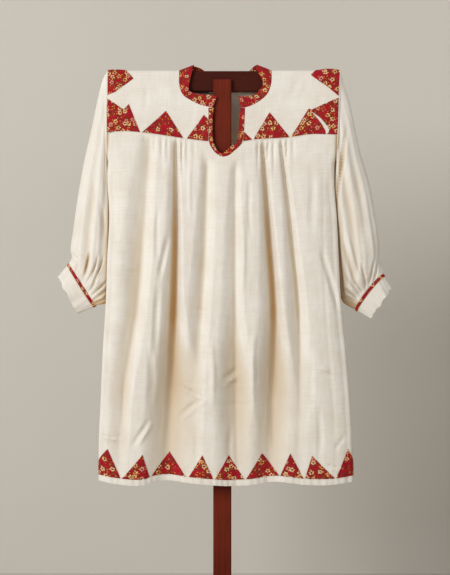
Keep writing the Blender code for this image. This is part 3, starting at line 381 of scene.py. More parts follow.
def cut(columns, rows, outline):
    """Cuts an outline out of a grid of cloth and gives its flat points and faces."""
    outline = np.array(outline, float)
    if signed_area(outline) < 0:
        outline = outline[::-1]
    wide, tall = len(columns) - 1, len(rows) - 1
    crossed = np.zeros((wide, tall), bool)
    step = min(np.diff(columns).min(), np.diff(rows).min()) / 3
    for a, b in zip(outline, np.roll(outline, -1, axis=0)):
        t = np.linspace(0, 1, int(np.hypot(*(b - a)) / step) + 2)[:, None]
        line = a + (b - a) * t
        i = np.clip(np.searchsorted(columns, line[:, 0], side="right") - 1, 0, wide - 1)
        j = np.clip(np.searchsorted(rows, line[:, 1], side="right") - 1, 0, tall - 1)
        for di in (-1, 0, 1):
            for dj in (-1, 0, 1):
                crossed[np.clip(i + di, 0, wide - 1), np.clip(j + dj, 0, tall - 1)] = True
    halfway = [(line[1:] + line[:-1]) / 2 for line in (columns, rows)]
    middles = np.stack(np.meshgrid(*halfway, indexing="ij"), -1)
    whole = inside(middles.reshape(-1, 2), outline).reshape(wide, tall) & ~crossed
    spots, faces, known = [], [], {}

    def index(p, q):
        key = (round(float(p), 3), round(float(q), 3))
        if key not in known:
            known[key] = len(spots)
            spots.append((float(p), float(q)))
        return known[key]

    for i, j in zip(*np.nonzero(whole)):
        corners = ((i, j), (i + 1, j), (i + 1, j + 1), (i, j + 1))
        faces.append(tuple(index(columns[a], rows[b]) for a, b in corners))
    local, lines, seen = [], set(), {}
    for i, j in zip(*np.nonzero(crossed)):
        ring = []
        for a, b in ((i, j), (i + 1, j), (i + 1, j + 1), (i, j + 1)):
            if (a, b) not in seen:
                seen[a, b] = len(local)
                local.append((columns[a], rows[b]))
            ring.append(seen[a, b])
        lines |= {tuple(sorted((ring[k], ring[k - 1]))) for k in range(4)}
    start = len(local)
    local += [tuple(spot) for spot in outline]
    edge = list(range(start, len(local)))
    local = [Vector(spot) for spot in local]
    verts, _, made, _, _, sources = delaunay_2d_cdt(local, sorted(lines), [edge], 0, 1e-3)
    for face, source in zip(made, sources):
        if not source:
            continue
        middle = sum((verts[k] for k in face), Vector((0, 0))) / len(face)
        i = int(np.clip(np.searchsorted(columns, middle.x, side="right") - 1, 0, wide - 1))
        j = int(np.clip(np.searchsorted(rows, middle.y, side="right") - 1, 0, tall - 1))
        if crossed[i, j]:
            faces.append(tuple(index(*verts[k]) for k in face))
    faces = [tuple(dict.fromkeys(face)) for face in faces]
    return np.array(spots), [face for face in faces if len(face) > 2]


def unit(ways):
    """Directions made one long."""
    return ways / np.maximum(np.linalg.norm(ways, axis=-1, keepdims=True), 1e-9)


def normals_of(place, p, q, step=0.4):
    """Outward normals of a surface on the front, where p runs right and q runs down."""
    across = place(p + step, q) - place(p - step, q)
    down = place(p, q + step) - place(p, q - step)
    return unit(np.cross(down, across))


def rides(made, slot, *nodes):
    """Puts a finished piece in the frame, in place of its solids."""
    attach(made, "root")
    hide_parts(*nodes)


def in_scene(name, data):
    """A new object at the origin."""
    made = bpy.data.objects.new(name, data)
    bpy.context.scene.collection.objects.link(made)
    return made


def wall(name, points, normals, faces, flat, low, high, finish, fold=None):
    """A closed thin wall of cloth from a sheet of faces, with its flat pattern as UV map in metres.

    fold says from 0 to 1 how deep in a fold each point lies, which sets its painted fold shade; the inside of
    the garment counts as a little deep, so it is painted a little shaded too.
    """
    count = len(points)
    under = (points + normals * low) / 1000
    upper = (points + normals * high) / 1000
    sides = {}
    for face in faces:
        for k in range(len(face)):
            sides[face[k], face[(k + 1) % len(face)]] = True
    rim = [side for side in sides if (side[1], side[0]) not in sides]
    every = [tuple(k + count for k in face) for face in faces]
    every += [face[::-1] for face in faces]
    every += [(b, a, a + count, b + count) for a, b in rim]
    mesh = bpy.data.meshes.new(name)
    mesh.from_pydata([tuple(v) for v in np.vstack([under, upper])], [], every)
    layer = mesh.uv_layers.new(name="flat")
    corners = np.zeros(len(mesh.loops), np.int32)
    mesh.loops.foreach_get("vertex_index", corners)
    layer.data.foreach_set("uv", (np.asarray(flat)[corners % count] / 1000).astype(np.float32).ravel())
    inner = mesh.attributes.new("fold", "FLOAT", "POINT")
    fold = np.zeros(count) if fold is None else np.clip(fold, 0, 1)
    # The inner face takes at least a little painted shade
    inner.data.foreach_set("value", np.concatenate([np.maximum(fold, INSIDE_SHADE), fold]).astype(np.float32))
    mesh.materials.append(finish)
    mesh.shade_smooth()
    mesh.set_sharp_from_angle(angle=math.radians(SHARP_ANGLE))
    return in_scene(name, mesh)


def flat_place(tree):
    """Places on a piece's flat pattern, in millimetres."""
    flat = node(tree, "ShaderNodeUVMap", uv_map="flat").outputs[0]
    made = node(tree, "ShaderNodeVectorMath", {0: flat, 1: (1000, 1000, 1000)}, operation="MULTIPLY")
    return made.outputs[0]


def muslin_finish():
    """Unbleached muslin: plain weave of uneven cotton, cream with slubs, a few seed flecks and a soft nap, with
    painted warm shade in its folds.
    """
    made, tree, shader = finish_named("unbleached muslin")
    mm = flat_place(tree)
    slubs = []
    for size in ((1 / SLUB_WIDTH, 1 / SLUB_LENGTH, 1), (1 / SLUB_LENGTH, 1 / SLUB_WIDTH, 1)):
        place = node(tree, "ShaderNodeMapping", {"Vector": mm, "Scale": size}).outputs[0]
        slubs.append(noise(tree, place, 1.0, 3.0, flat=True, Roughness=0.65))
    cloth = figure(tree, "ADD", *slubs)
    # The weave's own threads, drawn at nearly twice their real 0.5 mm so that they show close to
    axes = node(tree, "ShaderNodeSeparateXYZ", {0: mm}).outputs
    threads = [figure(tree, "SINE", figure(tree, "MULTIPLY", axes[k], 2 * math.pi / THREAD_PITCH))
               for k in (0, 1)]
    weave = figure(tree, "MULTIPLY", *threads)
    tone = figure(tree, "ADD", cloth, noise(tree, mm, 0.02, 3.0, flat=True))
    colour = mixed(tree, spread(tree, tone, 1.15, 1.85), linear(MUSLIN_DARK), linear(MUSLIN_LIGHT))
    fleck = node(tree, "ShaderNodeTexVoronoi", {"Vector": mm, "Scale": 1 / FLECK_SPACING},
                 voronoi_dimensions="2D")
    rare = figure(tree, "LESS_THAN", fleck.outputs["Distance"], FLECK_SIZE)
    colour = mixed(tree, figure(tree, "MULTIPLY", rare, 0.5), colour, linear(SEED_FLECK))
    # Painted shade: a warm, darker tone in deep folds, for their shade and for the light that passes from wall
    # to wall of a deep fold of thin cotton
    fold = node(tree, "ShaderNodeAttribute", attribute_name="fold").outputs["Fac"]
    colour = mixed(tree, spread(tree, fold, 0.0, 0.5), colour, linear(FOLD_SHADE_TONES[0]))
    colour = mixed(tree, spread(tree, fold, 0.5, 1.0), colour, linear(FOLD_SHADE_TONES[1]))
    lift = figure(tree, "MULTIPLY_ADD", weave, 0.12, cloth)
    coat(tree, shader, colour, {"Roughness": 0.92, "Specular IOR Level": 0.25, "Sheen Weight": 0.12,
                                "Sheen Roughness": 0.6}, (lift, 0.35, 0.0006))
    return made


muslin = muslin_finish()

# The neckband's places are needed here because the neck hole ends at its outer edge.
# Heights on the front are positive and on the back negative; over counts along the cloth across the crossbar.
NECKBAND = table("outer_x outer_z outer_over inner_x inner_z inner_over lift", [
    (-20.9, 1218.0, 0, -12.3, 1242.0, 0, 0.5), (-31.0, 1219.5, 0, -24.9, 1245.0, 0, 0.5),
    (-47.0, 1223.5, 0, -42.5, 1246.5, 0, 0.5), (-64.0, 1231.0, 0, -57.9, 1248.5, 0, 0.5),
    (-82.0, 1242.0, 0, -70.2, 1252.7, 0, 0.5), (-90.5, 1253.0, 0, -74.0, 1261.5, 0, 0.5),
    (-95.0, 1272.0, 0, -71.0, 1280.0, 0, 1.5), (-95.0, 0, OVER, -67.0, 0, OVER, 4),
    (-95.0, 0, 13, -66.0, 0, 13, 6), (-95.0, 0, TOP_FLAT, -65.0, 0, TOP_FLAT, 8),
    (-94.0, 0, -TOP_FLAT, -64.0, 0, -TOP_FLAT, 9), (-93.5, 0, -13, -64.0, 0, -13, 7),
    (-93.0, 0, -OVER, -64.0, 0, -OVER, 4), (-84.0, -1272, 0, -60.0, -1289, 0, 1.5),
    (-62.0, -1262, 0, -46.0, -1286, 0, 0.5), (-30.0, -1257, 0, -24.0, -1284, 0, 0.5),
    (6.0, -1256, 0, 6.0, -1283, 0, 0.5), (42.0, -1257, 0, 36.0, -1284, 0, 0.5),
    (74.0, -1262, 0, 58.0, -1286, 0, 0.5), (97.0, -1272, 0, 72.0, -1289, 0, 1.5),
    (106.5, 0, -OVER, 76.0, 0, -OVER, 4), (107.0, 0, -13, 76.0, 0, -13, 7),
    (107.5, 0, -TOP_FLAT, 75.5, 0, -TOP_FLAT, 9), (108.0, 0, TOP_FLAT, 75.5, 0, TOP_FLAT, 10),
    (108.5, 0, 13, 76.5, 0, 13, 7), (109.0, 0, OVER, 79.0, 0, OVER, 4),
    (108.5, 1278.0, 0, 87.0, 1280.0, 0, 1.5), (105.5, 1263.0, 0, 89.5, 1268.0, 0, 0.5),
    (98.0, 1246.5, 0, 79.0, 1253.0, 0, 0.5), (82.5, 1232.7, 0, 66.0, 1244.0, 0, 0.5),
    (67.0, 1223.5, 0, 52.0, 1243.0, 0, 0.5), (50.8, 1218.0, 0, 38.0, 1242.3, 0, 0.5),
    (40.0, 1217.9, 0, 35.0, 1242.0, 0, 0.5),
])
BINDING = table("outer_x outer_z inner_x inner_z", [
    (-30.4, 1216.8, -18.5, 1216.8), (-30.4, 1200.0, -20.5, 1200.0), (-30.4, 1179.0, -21.6, 1179.0),
    (-29.6, 1158.0, -21.2, 1158.0), (-28.8, 1141.6, -20.0, 1143.0), (-24.0, 1129.3, -16.3, 1132.4),
    (-15.6, 1118.1, -10.1, 1122.2), (-5.9, 1110.8, -4.0, 1117.8), (3.7, 1109.0, 2.2, 1117.0),
    (16.1, 1113.0, 9.2, 1122.9), (27.1, 1122.5, 20.2, 1132.0), (38.0, 1132.0, 30.5, 1139.4),
    (44.0, 1141.6, 35.0, 1147.1), (47.7, 1163.6, 35.6, 1165.0), (49.2, 1190.0, 37.2, 1190.0),
    (50.2, 1216.8, 40.0, 1216.8),
])


def rounded(line, count):
    """A smooth line through points, so many steps between each pair."""
    line = np.array(line, float)
    before = np.vstack([2 * line[0] - line[1], line[:-2]])
    after = np.vstack([line[2:], 2 * line[-1] - line[-2]])
    t = (np.arange(count) / count)[:, None, None]
    a, b = line[:-1], line[1:]
    bend = (2 * a + (b - before) * t + (2 * before - 5 * a + 4 * b - after) * t**2
            + (3 * a - before - 3 * b + after) * t**3) / 2
    return np.vstack([bend.transpose(1, 0, 2).reshape(-1, line.shape[1]), line[-1:]])


def moved(line, distance):
    """A flat line moved to its right."""
    steps = unit(np.diff(line, axis=0))
    sides = np.stack([steps[:, 1], -steps[:, 0]], axis=1)
    return line + unit(np.vstack([sides[:1], sides[:-1] + sides[1:], sides[-1:]])) * distance


def neck_line(edge):
    """The neckband's outer or inner edge on the yoke's flat pattern."""
    spots = []
    for x, z, over in zip(*(NECKBAND[f"{edge}_{part}"] for part in ("x", "z", "over"))):
        if over:
            spots.append(yoke_spot(x, None, over))
        elif z < 0:
            spots.append(yoke_spot(x, -z, face="back"))
        else:
            spots.append(yoke_spot(x, z))
    return rounded(spots, 4)


def yoke_seam_height(x):
    """Height of the front seam at a place."""
    left = curve(OUTLINE, "z", "left", SEAM_LEVEL)
    return float(curve(YOKE_SEAM, "x", "front", np.clip(x, left, 256)))


def binding_line(edge):
    """The slit binding's outer or inner edge, as x and z."""
    return rounded(np.stack([BINDING[edge + "_x"], BINDING[edge + "_z"]], 1), 3)


slit_line = moved(binding_line("outer"), SEAM)
slit_above = [k for k in range(len(slit_line)) if slit_line[k, 1] > yoke_seam_height(slit_line[k, 0])]
slit_left = slit_line[[k for k in slit_above if slit_line[k, 0] < 0]]
slit_right = slit_line[[k for k in slit_above if slit_line[k, 0] > 0]]
slit_under = slit_line[len(slit_left):len(slit_line) - len(slit_right)]


def seam_crossing(above, below):
    """Where the slit's edge crosses the yoke's seam."""
    rise = above[1] - yoke_seam_height(above[0])
    fall = yoke_seam_height(below[0]) - below[1]
    return above + (below - above) * rise / (rise + fall)


foot_left = seam_crossing(slit_left[-1], slit_under[0])
foot_right = seam_crossing(slit_right[0], slit_under[-1])
end = OVER + DROP
edge = [(0, end), (yoke_spot(*foot_left)[0], end)]
edge += [yoke_spot(x, z) for x, z in slit_left[::-1]]
edge += [tuple(spot) for spot in moved(neck_line("outer"), SEAM)]
edge += [yoke_spot(x, z) for x, z in slit_right[::-1]]
edge += [(yoke_spot(*foot_right)[0], end), (YOKE_SPAN, end), (YOKE_SPAN, -end), (0, -end)]
yoke_columns = grid_lines(0, YOKE_SPAN, CELL)
yoke_rows = np.concatenate([grid_lines(-end, -OVER, CELL)[:-1], grid_lines(-OVER, -TOP_FLAT, 2)[:-1],
                            grid_lines(-TOP_FLAT, TOP_FLAT, CELL)[:-1], grid_lines(TOP_FLAT, OVER, 2)[:-1],
                            grid_lines(OVER, end, CELL)])
spots, faces = cut(yoke_columns, yoke_rows, edge)
p, q = spots.T
yoke = wall("yoke_cloth", yoke_place(p, q), normals_of(yoke_place, p, q), faces, spots, *MUSLIN_WALL, muslin)
rides(yoke, "muslin", "yoke")


# Skirt: two lengths of the same muslin, gathered into the yoke and sewn together at the sides.
# Deep soft folds fall from the gathers, small pleats die out under the seam and pressed creases cross both.
FLAT = 235.0
TURN = 40.0
TURN_STEPS = 15
FULL_RECESS = 24.0
TURN_WIDTH = (16.0, 24.0)
RECESS_FADE = 80.0
SLIT_HUSH = (42.0, 30.0)
CREASE_STRENGTH = 2.6
SEAM_SHARE = 0.15
HEM_PUCKER = 0.55
ROLL = (2.5, 7.5)
ROLL_REACH = 34.0
SKIRT_CELL = (2.3, 4.8)
# The painted shade of the folds, by heights: the depth where it starts, the depth it takes to be full,
# and how far it is moved to the fold's shaded side
SHADE_STARTS = ((600, 740, 1010, 1120), (0.0, 9.0, 9.0, 3.0))
SHADE_RANGES = ((560, 760), (66.0, 20.0))
SHADE_SHIFTS = ((600, 700), (0.0, 5.0))
# Painted shade on the body's side where a sleeve hangs against it, and the height below which it fades out
SIDE_SHADE = 0.9
SIDE_SHADE_FOOT = 770.0
# Unevenness of the cloth: depth, length of its waves, their stretch upwards and the seed for each face
SKIRT_WAVES = ((0.9, 75, 0.45, {"front": 11, "back": 12}), (0.3, 24, 0.7, {"front": 31, "back": 32}))
# How far down the small pleats need close rows
GATHERED = 90.0
FURROW_HEIGHTS = (1135.0, 948.0, 772.0, 591.0, 405.0)
FURROWS = {
    "front": [
        ((-161, -173, -188, -216, -229), (30, 52, 56, 42, 24), (18, 26, 26, 24, 22), (7, 15, 17, 14, 3)),
        ((-101, -99, -102, -111, -122), (18, 30, 46, 60, 64), (9, 13, 22, 70, 76), (7, 16, 20, 33, 19)),
        ((-31, -36, -45, -58, -60), (14, 28, 34, 30, 24), (14, 22, 22, 22, 20), (6, 14, 15, 9, 1)),
        ((30, 30, 30, 30, 32), (12, 28, 38, 50, 50), (10, 16, 20, 48, 48), (4, 11, 14, 27, 11)),
        ((90, 105, 118, 112, 102), (14, 26, 44, 56, 56), (9, 13, 19, 54, 58), (7, 15, 19, 30, 15)),
        ((130, 153, 170, 170, 162), (8, 22, 36, 30, 22), (8, 13, 18, 24, 24), (5, 12, 15, 10, 2)),
        ((222, 222, 226, 240, 250), (16, 22, 26, 26, 24), (14, 18, 20, 22, 24), (0, 1, 1, 2, 2)),
    ],
    "back": [
        ((-190, -196, -205, -214, -220), (16, 22, 24, 28, 30), (14, 18, 20, 24, 28), (4, 10, 12, 11, 8)),
        ((-120, -131, -138, -140, -146), (9, 14, 18, 22, 26), (9, 15, 18, 22, 26), (6, 14, 16, 12, 7)),
        ((-58, -52, -57, -66, -70), (10, 16, 19, 24, 28), (10, 14, 17, 22, 26), (5, 13, 15, 13, 9)),
        ((12, 20, 16, 6, 4), (9, 14, 18, 22, 24), (9, 15, 18, 22, 24), (4, 11, 13, 9, 5)),
        ((70, 82, 90, 88, 84), (9, 14, 18, 24, 28), (10, 15, 17, 22, 28), (6, 15, 17, 14, 10)),
        ((134, 143, 157, 162, 160), (9, 14, 17, 20, 24), (9, 14, 18, 22, 26), (5, 11, 13, 11, 8)),
        ((196, 208, 216, 226, 232), (14, 20, 24, 26, 28), (14, 18, 22, 24, 26), (4, 9, 11, 9, 7)),
    ],
}
# The sharp bottom of each fold: half-widths and depth at the same five heights
CORES = {
    "front": [
        ((8, 8, 8, 8, 8), (8, 8, 8, 8, 8), (0, 0.5, 1, 1, 0)),
        ((4, 11, 14, 16, 16), (4, 8, 12, 14, 14), (7, 12, 11, 6, 1)),
        ((6, 10, 12, 12, 10), (6, 10, 12, 12, 10), (1, 1, 1, 0, 0)),
        ((5, 8, 8, 8, 8), (5, 8, 8, 8, 8), (1, 2, 2, 2, 1)),
        ((4, 11, 14, 14, 14), (4.5, 9, 11, 12, 12), (7, 12, 10, 5, 1)),
        ((3, 7, 7, 8, 8), (3.5, 5, 5, 6, 6), (5, 7, 4, 1, 0)),
        ((6, 8, 8, 8, 8), (5, 6, 7, 8, 8), (0, 1, 1, 1, 0)),
    ],
    "back": [
        ((6, 8, 8, 9, 10), (5, 6, 6, 8, 9), (1, 3, 4, 3, 1)),
        ((4, 8, 9, 9, 10), (4, 5, 6, 7, 9), (5, 9, 9, 5, 1)),
        ((4, 5, 6, 8, 9), (4, 8, 8, 9, 10), (3, 4, 4, 3, 2)),
        ((4, 8, 9, 9, 9), (4, 5, 6, 7, 8), (2, 6, 7, 3, 1)),
        ((4, 5, 6, 7, 9), (4, 9, 9, 9, 10), (5, 9, 9, 6, 3)),
        ((4, 7, 7, 8, 9), (4, 5, 6, 7, 9), (2, 4, 5, 4, 2)),
        ((6, 8, 8, 9, 9), (5, 6, 6, 8, 9), (1, 3, 4, 3, 2)),
    ],
}
# Small pleats under the yoke: place, half-width, depth and length
GATHERS = {
    "front": table("place half depth length", [
        (-148, 6, 3.5, 70), (-133, 6, 4, 95), (-120, 6, 3.5, 80), (-88, 5, 5.5, 120), (-77, 6, 3.5, 80),
        (-62, 7, 2.5, 70), (50, 7, 2.5, 70), (78, 5, 5, 110), (101, 5, 7, 150), (113, 5.5, 5, 110),
        (142, 5, 6, 110), (156, 7, 3, 75), (-171, 5, 1.2, 30), (-141, 3.5, 1.2, 40), (-113, 3.5, 1.4, 45),
        (-98, 3.5, 1.4, 50), (-84, 3.2, 1.2, 35), (-52, 4, 1.0, 25), (63, 4, 1.2, 40), (80, 3.2, 1.4, 50),
        (93, 3.2, 1.6, 60), (107, 3, 1.5, 60), (119, 3.5, 1.5, 55), (135, 3.5, 1.3, 40), (164, 4.5, 1.2, 35),
        (180, 5, 1.0, 25),
    ]),
    "back": table("place half depth length", [
        (-155, 7, 3, 90), (-139, 7, 4, 100), (-104, 7, 4, 110), (-88, 7, 3.5, 95), (-36, 7, 3, 85),
        (-14, 7, 3.5, 90), (36, 7, 3.5, 95), (52, 7, 3, 80), (90, 7, 4, 110), (106, 7, 3.5, 95),
        (152, 7, 3.5, 90), (170, 7, 3, 80), (-176, 5, 1.2, 30), (-128, 4, 1.3, 45), (-96, 3.5, 1.4, 50),
        (-72, 4, 1.2, 40), (-47, 4, 1.2, 35), (-2, 4, 1.2, 40), (26, 4, 1.2, 45), (66, 4, 1.3, 45),
        (98, 3.5, 1.4, 50), (122, 4, 1.2, 35), (141, 4, 1.2, 40), (186, 5, 1.0, 25),
    ]),
}
SKIRT_CREASES = {
    "front": table("x0 z0 x1 z1 x2 z2 half depth", [
        (-120, 932, -131, 880, -139, 838, 9, 2.6), (-139, 838, -146, 750, -148, 672, 10, 2.2),
        (217, 904, 238, 840, 257, 761, 10, 2.6), (-225, 874, -206, 868, -180, 866, 4, -1.0),
        (-226, 862, -205, 856, -182, 857, 4, 0.9), (-258, 789, -236, 792, -214, 789, 4, 1.0),
        (-82, 778, -58, 770, -27, 778, 4, 1.0), (-84, 770, -60, 762, -30, 768, 3.5, -0.8),
        (-95, 616, -60, 610, -20, 617, 4, 0.7), (-99, 610, -66, 592, -36, 583, 5, 1.8),
        (-97, 603, -64, 584, -42, 577, 5, -1.2), (-38, 582, -68, 566, -98, 536, 6, 2.2),
        (-30, 577, -60, 558, -88, 530, 6, -1.4), (32, 644, 18, 634, 1, 622, 6, 1.8),
        (40, 632, 22, 620, 4, 606, 6, -1.6), (8, 613, 38, 610, 70, 614, 3.5, 0.9),
        (-10, 568, 30, 565, 74, 569, 3.5, 0.8), (268, 498, 256, 483, 244, 468, 5, 1.4),
        (216, 646, 224, 640, 236, 636, 5, -1.6), (214, 640, 226, 632, 240, 627, 5, 1.6),
        (-268, 498, -240, 494, -214, 497, 4, 1.6), (-266, 492, -240, 488, -216, 490, 4, -1.3),
        (-160, 532, -176, 508, -196, 478, 6, 2.2), (-152, 526, -168, 500, -186, 474, 5, -1.5),
        (226, 436, 244, 430, 256, 428, 4, 1.6), (230, 428, 246, 422, 258, 421, 4, -1.3),
        (-160, 690, -150, 640, -158, 570, 12, 1.6), (-24, 700, -18, 640, -22, 560, 10, -1.6),
        (70, 720, 62, 640, 68, 540, 10, -1.8), (118, 560, 112, 500, 120, 440, 12, 1.6),
        (190, 700, 196, 620, 188, 540, 12, 1.4), (210, 560, 216, 500, 210, 440, 10, 1.2),
        (-210, 640, -216, 560, -208, 480, 12, 1.4), (-60, 520, -52, 480, -58, 436, 10, 1.4),
        (20, 520, 12, 480, 18, 430, 10, 1.2), (-140, 1000, -146, 940, -142, 880, 8, 1.2),
        (60, 1060, 56, 1000, 62, 940, 8, 1.4), (196, 1080, 200, 1010, 194, 940, 12, 1.2),
        (-70, 1090, -74, 1030, -70, 980, 7, -1.2), (44, 980, 50, 900, 44, 820, 9, -1.4),
    ]),
    "back": table("x0 z0 x1 z1 x2 z2 half depth", [
        (-160, 960, -150, 900, -162, 820, 10, 2.2), (150, 980, 168, 900, 178, 800, 10, 2.4),
        (-30, 900, -20, 820, -28, 740, 10, -1.8), (60, 860, 50, 780, 58, 690, 9, 1.8),
        (-224, 820, -190, 812, -160, 818, 4, 1.0), (-222, 812, -190, 804, -162, 810, 4, -0.9),
        (96, 742, 130, 736, 168, 744, 4, 1.0), (-110, 640, -84, 628, -56, 634, 7, 2.2),
        (-108, 630, -84, 616, -60, 622, 6, -1.8), (22, 560, 50, 548, 76, 556, 7, 2.0),
        (24, 550, 50, 538, 74, 544, 6, -1.6), (180, 600, 206, 588, 236, 594, 5, 1.5),
        (-240, 520, -214, 512, -188, 516, 5, 1.5), (-180, 560, -172, 500, -178, 440, 12, 1.6),
        (-96, 560, -90, 500, -98, 440, 11, 1.4), (36, 500, 44, 470, 38, 432, 10, 1.4),
        (126, 560, 120, 500, 128, 440, 12, 1.6), (190, 480, 198, 460, 192, 430, 8, 1.2),
        (-200, 1080, -206, 1010, -200, 940, 12, 1.2), (206, 1070, 200, 1000, 208, 930, 12, 1.4),
    ]),
}


def furrow(offset, left, right):
    """The cross-section of a furrow, 1 at its bottom."""
    u = np.clip(np.abs(offset) / np.where(offset < 0, left, right), 0, 1)
    return (1 - u) ** 2 * (1 + 2 * u)


def furrow_depth(x, z, face):
    """How far the folds, the small pleats and the creases push the cloth in."""
    total = np.zeros(np.shape(x))
    for fold, core in zip(FURROWS[face], CORES[face]):
        here = table("z place left right depth inner_left inner_right inner_depth",
                     zip(FURROW_HEIGHTS, *fold, *core))
        offset = x - curve(here, "z", "place", z)
        left, right, depth = (curve(here, "z", size, z) for size in ("left", "right", "depth"))
        total += depth * furrow(offset, left, right)
        left, right, depth = (curve(here, "z", "inner_" + size, z) for size in ("left", "right", "depth"))
        u = np.clip(np.abs(offset) / np.where(offset < 0, left, right), 0, 1)
        total += depth * (1 - u * u) ** 2
    top = curve(YOKE_SEAM, "x", face, x)
    rows = GATHERS[face]
    for place, half, depth, length in zip(*(rows[part] for part in ("place", "half", "depth", "length"))):
        total += depth * (1 - ease((top - z) / length)) * furrow(x - place, half, half)
    total *= SEAM_SHARE + (1 - SEAM_SHARE) * ease((top - z) / 18)
    total += CREASE_STRENGTH * crease_depth(SKIRT_CREASES[face], x, z) * ease((top - z) / 30)
    for depth, size, stretch, seeds in SKIRT_WAVES:
        total += depth * softness(x, z * stretch, seeds[face], size) * ease((top - z) / 60)
    # Puckers where the hem band is sewn on
    hem = curve(HEM_SEAM, "x", face, x)
    near = np.exp(-((z - hem) / 16) ** 2)
    total += HEM_PUCKER * near * np.sin(x / 2.6 + 2.2 * np.sin(x / 31) + 1.4 * np.sin(x / 13))
    if face == "front":
        total *= ease((np.hypot(x - SLIT_FOOT[0], z - SLIT_FOOT[1]) - SLIT_HUSH[0]) / SLIT_HUSH[1])
    return total


def turn_sizes(side, z, face):
    """The rounding of a panel's side: its width, how far it tucks in, its edge and its widest place."""
    below = ease((underarm_height(side) - z) / RECESS_FADE)
    recess = FULL_RECESS * below
    width = TURN_WIDTH[0] + (TURN_WIDTH[1] - TURN_WIDTH[0]) * below
    edge = curve(OUTLINE, "z", "left" if side == LEFT else "right", z)
    widest = width**2 / (width + recess)
    if face == "back":
        return width, recess * 0, edge - side * (widest - width + recess), width
    return width, recess, edge, widest


def flat_ends(z, face):
    """Where the flat of a skirt panel ends at a height, left and right."""
    left, right = (turn_sizes(side, z, face) for side in (LEFT, RIGHT))
    return left[2] + left[3], right[2] - right[3]


def flat_x(p, z, face):
    """Where a column stands at a height, its turn counted as flat."""
    left, right = flat_ends(z, face)
    return (left + right) / 2 + p / FLAT * (right - left) / 2


def column_at(x, z, face):
    """Which column of a panel's flat stands at a place."""
    left, right = flat_ends(z, face)
    return float(FLAT * (2 * (x - left) / (right - left) - 1))


def panel_span(p, face):
    """A column's upper and lower end."""
    top = curve(YOKE_SEAM, "x", face, flat_x(p, SEAM_LEVEL, "front")) - SEAM
    return top, curve(HEM_SEAM, "x", face, flat_x(p, HEM_LEVEL, face))


def skirt_place(p, run, face):
    """Points of a skirt panel: p across, run down from the yoke to the hem band."""
    p, run = np.broadcast_arrays(np.asarray(p, float), np.asarray(run, float))
    w = np.clip((np.abs(p) - FLAT) / TURN, 0, 1)
    top, hem = panel_span(p, face)
    z = top + (hem - top) * run / PANEL_DROP
    x = flat_x(p, z, face)
    away = -1 if face == "front" else 1
    pull = np.zeros(z.shape)
    roll = np.zeros(z.shape)
    for side in (LEFT, RIGHT):
        here = (p * side > FLAT)
        width, recess, rim, widest = turn_sizes(side, z, face)
        # The panel starts to turn away well before its edge
        reach = np.clip(1 - (abs(flat_ends(z, face)[0 if side == LEFT else 1]) - x * side) / ROLL_REACH, 0, 1)
        size = ROLL[0] * ease((top - z) / 40) + ROLL[1] * ease((underarm_height(side) - z) / RECESS_FADE)
        roll = np.where(p * side > 0, size * reach**2, roll)
        bottom = underarm_height(side)
        power = 1 + ease((bottom + ARMHOLE_FADE - z) / ARMHOLE_FADE)
        out = width * (1 - (1 - w) ** power) - recess * w * w
        x = np.where(here, rim - side * (widest - out), x)
        seam = (SEAM_Y + away * SEAM / 2 - curve(DEPTH, "z", face, z)) * -away
        deep = np.where(z > bottom, armhole_pull(side, z, face), seam)
        pull = np.where(here, deep, pull)
    y = face_depth(x, z, face)
    y = y - away * furrow_depth(x, z, face) * (1 - w) ** 2
    y = y - away * (roll + (pull - roll) * w * w)
    return np.stack([x, y, z], axis=-1)


skirts = {}
for face in ("front", "back"):
    columns = np.concatenate([-FLAT - TURN * np.linspace(1, 0, TURN_STEPS)[:-1],
                              grid_lines(-FLAT, FLAT, SKIRT_CELL[0]),
                              FLAT + TURN * np.linspace(0, 1, TURN_STEPS)[1:]])
    rows = np.concatenate([grid_lines(0, GATHERED, SKIRT_CELL[0] * 1.3)[:-1],
                           grid_lines(GATHERED, PANEL_DROP, SKIRT_CELL[1])])
    place = (lambda p, q, face=face: skirt_place(p, q, face))
    outline = [(columns[0], 0.0)]
    if face == "front":
        for x, z in [foot_left, *slit_under, foot_right]:
            p = column_at(x, z, face)
            top, hem = panel_span(p, face)
            outline.append((p, float(max((top - z) / (top - hem) * PANEL_DROP, 0))))
        outline[1] = (outline[1][0], 0.0)
        outline[-1] = (outline[-1][0], 0.0)
    outline += [(columns[-1], 0.0), (columns[-1], PANEL_DROP), (columns[0], PANEL_DROP)]
    spots, faces = cut(columns, rows, outline)
    facing = 1 if face == "front" else -1
    normals = normals_of(place, *spots.T) * facing
    for side in (LEFT, RIGHT):
        edge_here = spots[:, 0] * side > FLAT + TURN - 0.01
        axis = np.where(spots[:, 1] < UNDERARM, 0, 1)
        for k in np.nonzero(edge_here)[0]:
            normals[k, axis[k]] = 0
            normals[k] /= np.linalg.norm(normals[k])
    if face == "back":
        faces = [f[::-1] for f in faces]
    points = place(*spots.T)
    # The painted fold shade is moved to the shaded half of a fold, and near the yoke it lies in the small
    # gathers too
    height, outward = points[:, 2], np.abs(spots[:, 0]) - FLAT
    deep = furrow_depth(points[:, 0] + np.interp(height, *SHADE_SHIFTS), height, face)
    deep = (deep - np.interp(height, *SHADE_STARTS)) / np.interp(height, *SHADE_RANGES)
    deep = np.clip(deep, 0, 1) * np.clip((10 - outward) / 20, 0, 1)
    # The body's side has painted shade too, where a sleeve hangs against it
    shade_beside = ease((outward - TURN * 0.4) / (TURN * 0.45)) * ease((height - SIDE_SHADE_FOOT) / 40)
    made = wall(f"skirt_{face}_cloth", points, normals, faces, spots + (900, 400 * facing), *MUSLIN_WALL,
                muslin, np.maximum(deep, SIDE_SHADE * shade_beside))
    rides(made, "muslin", "skirt_" + face)
    skirts[face] = (columns, rows, place, facing)


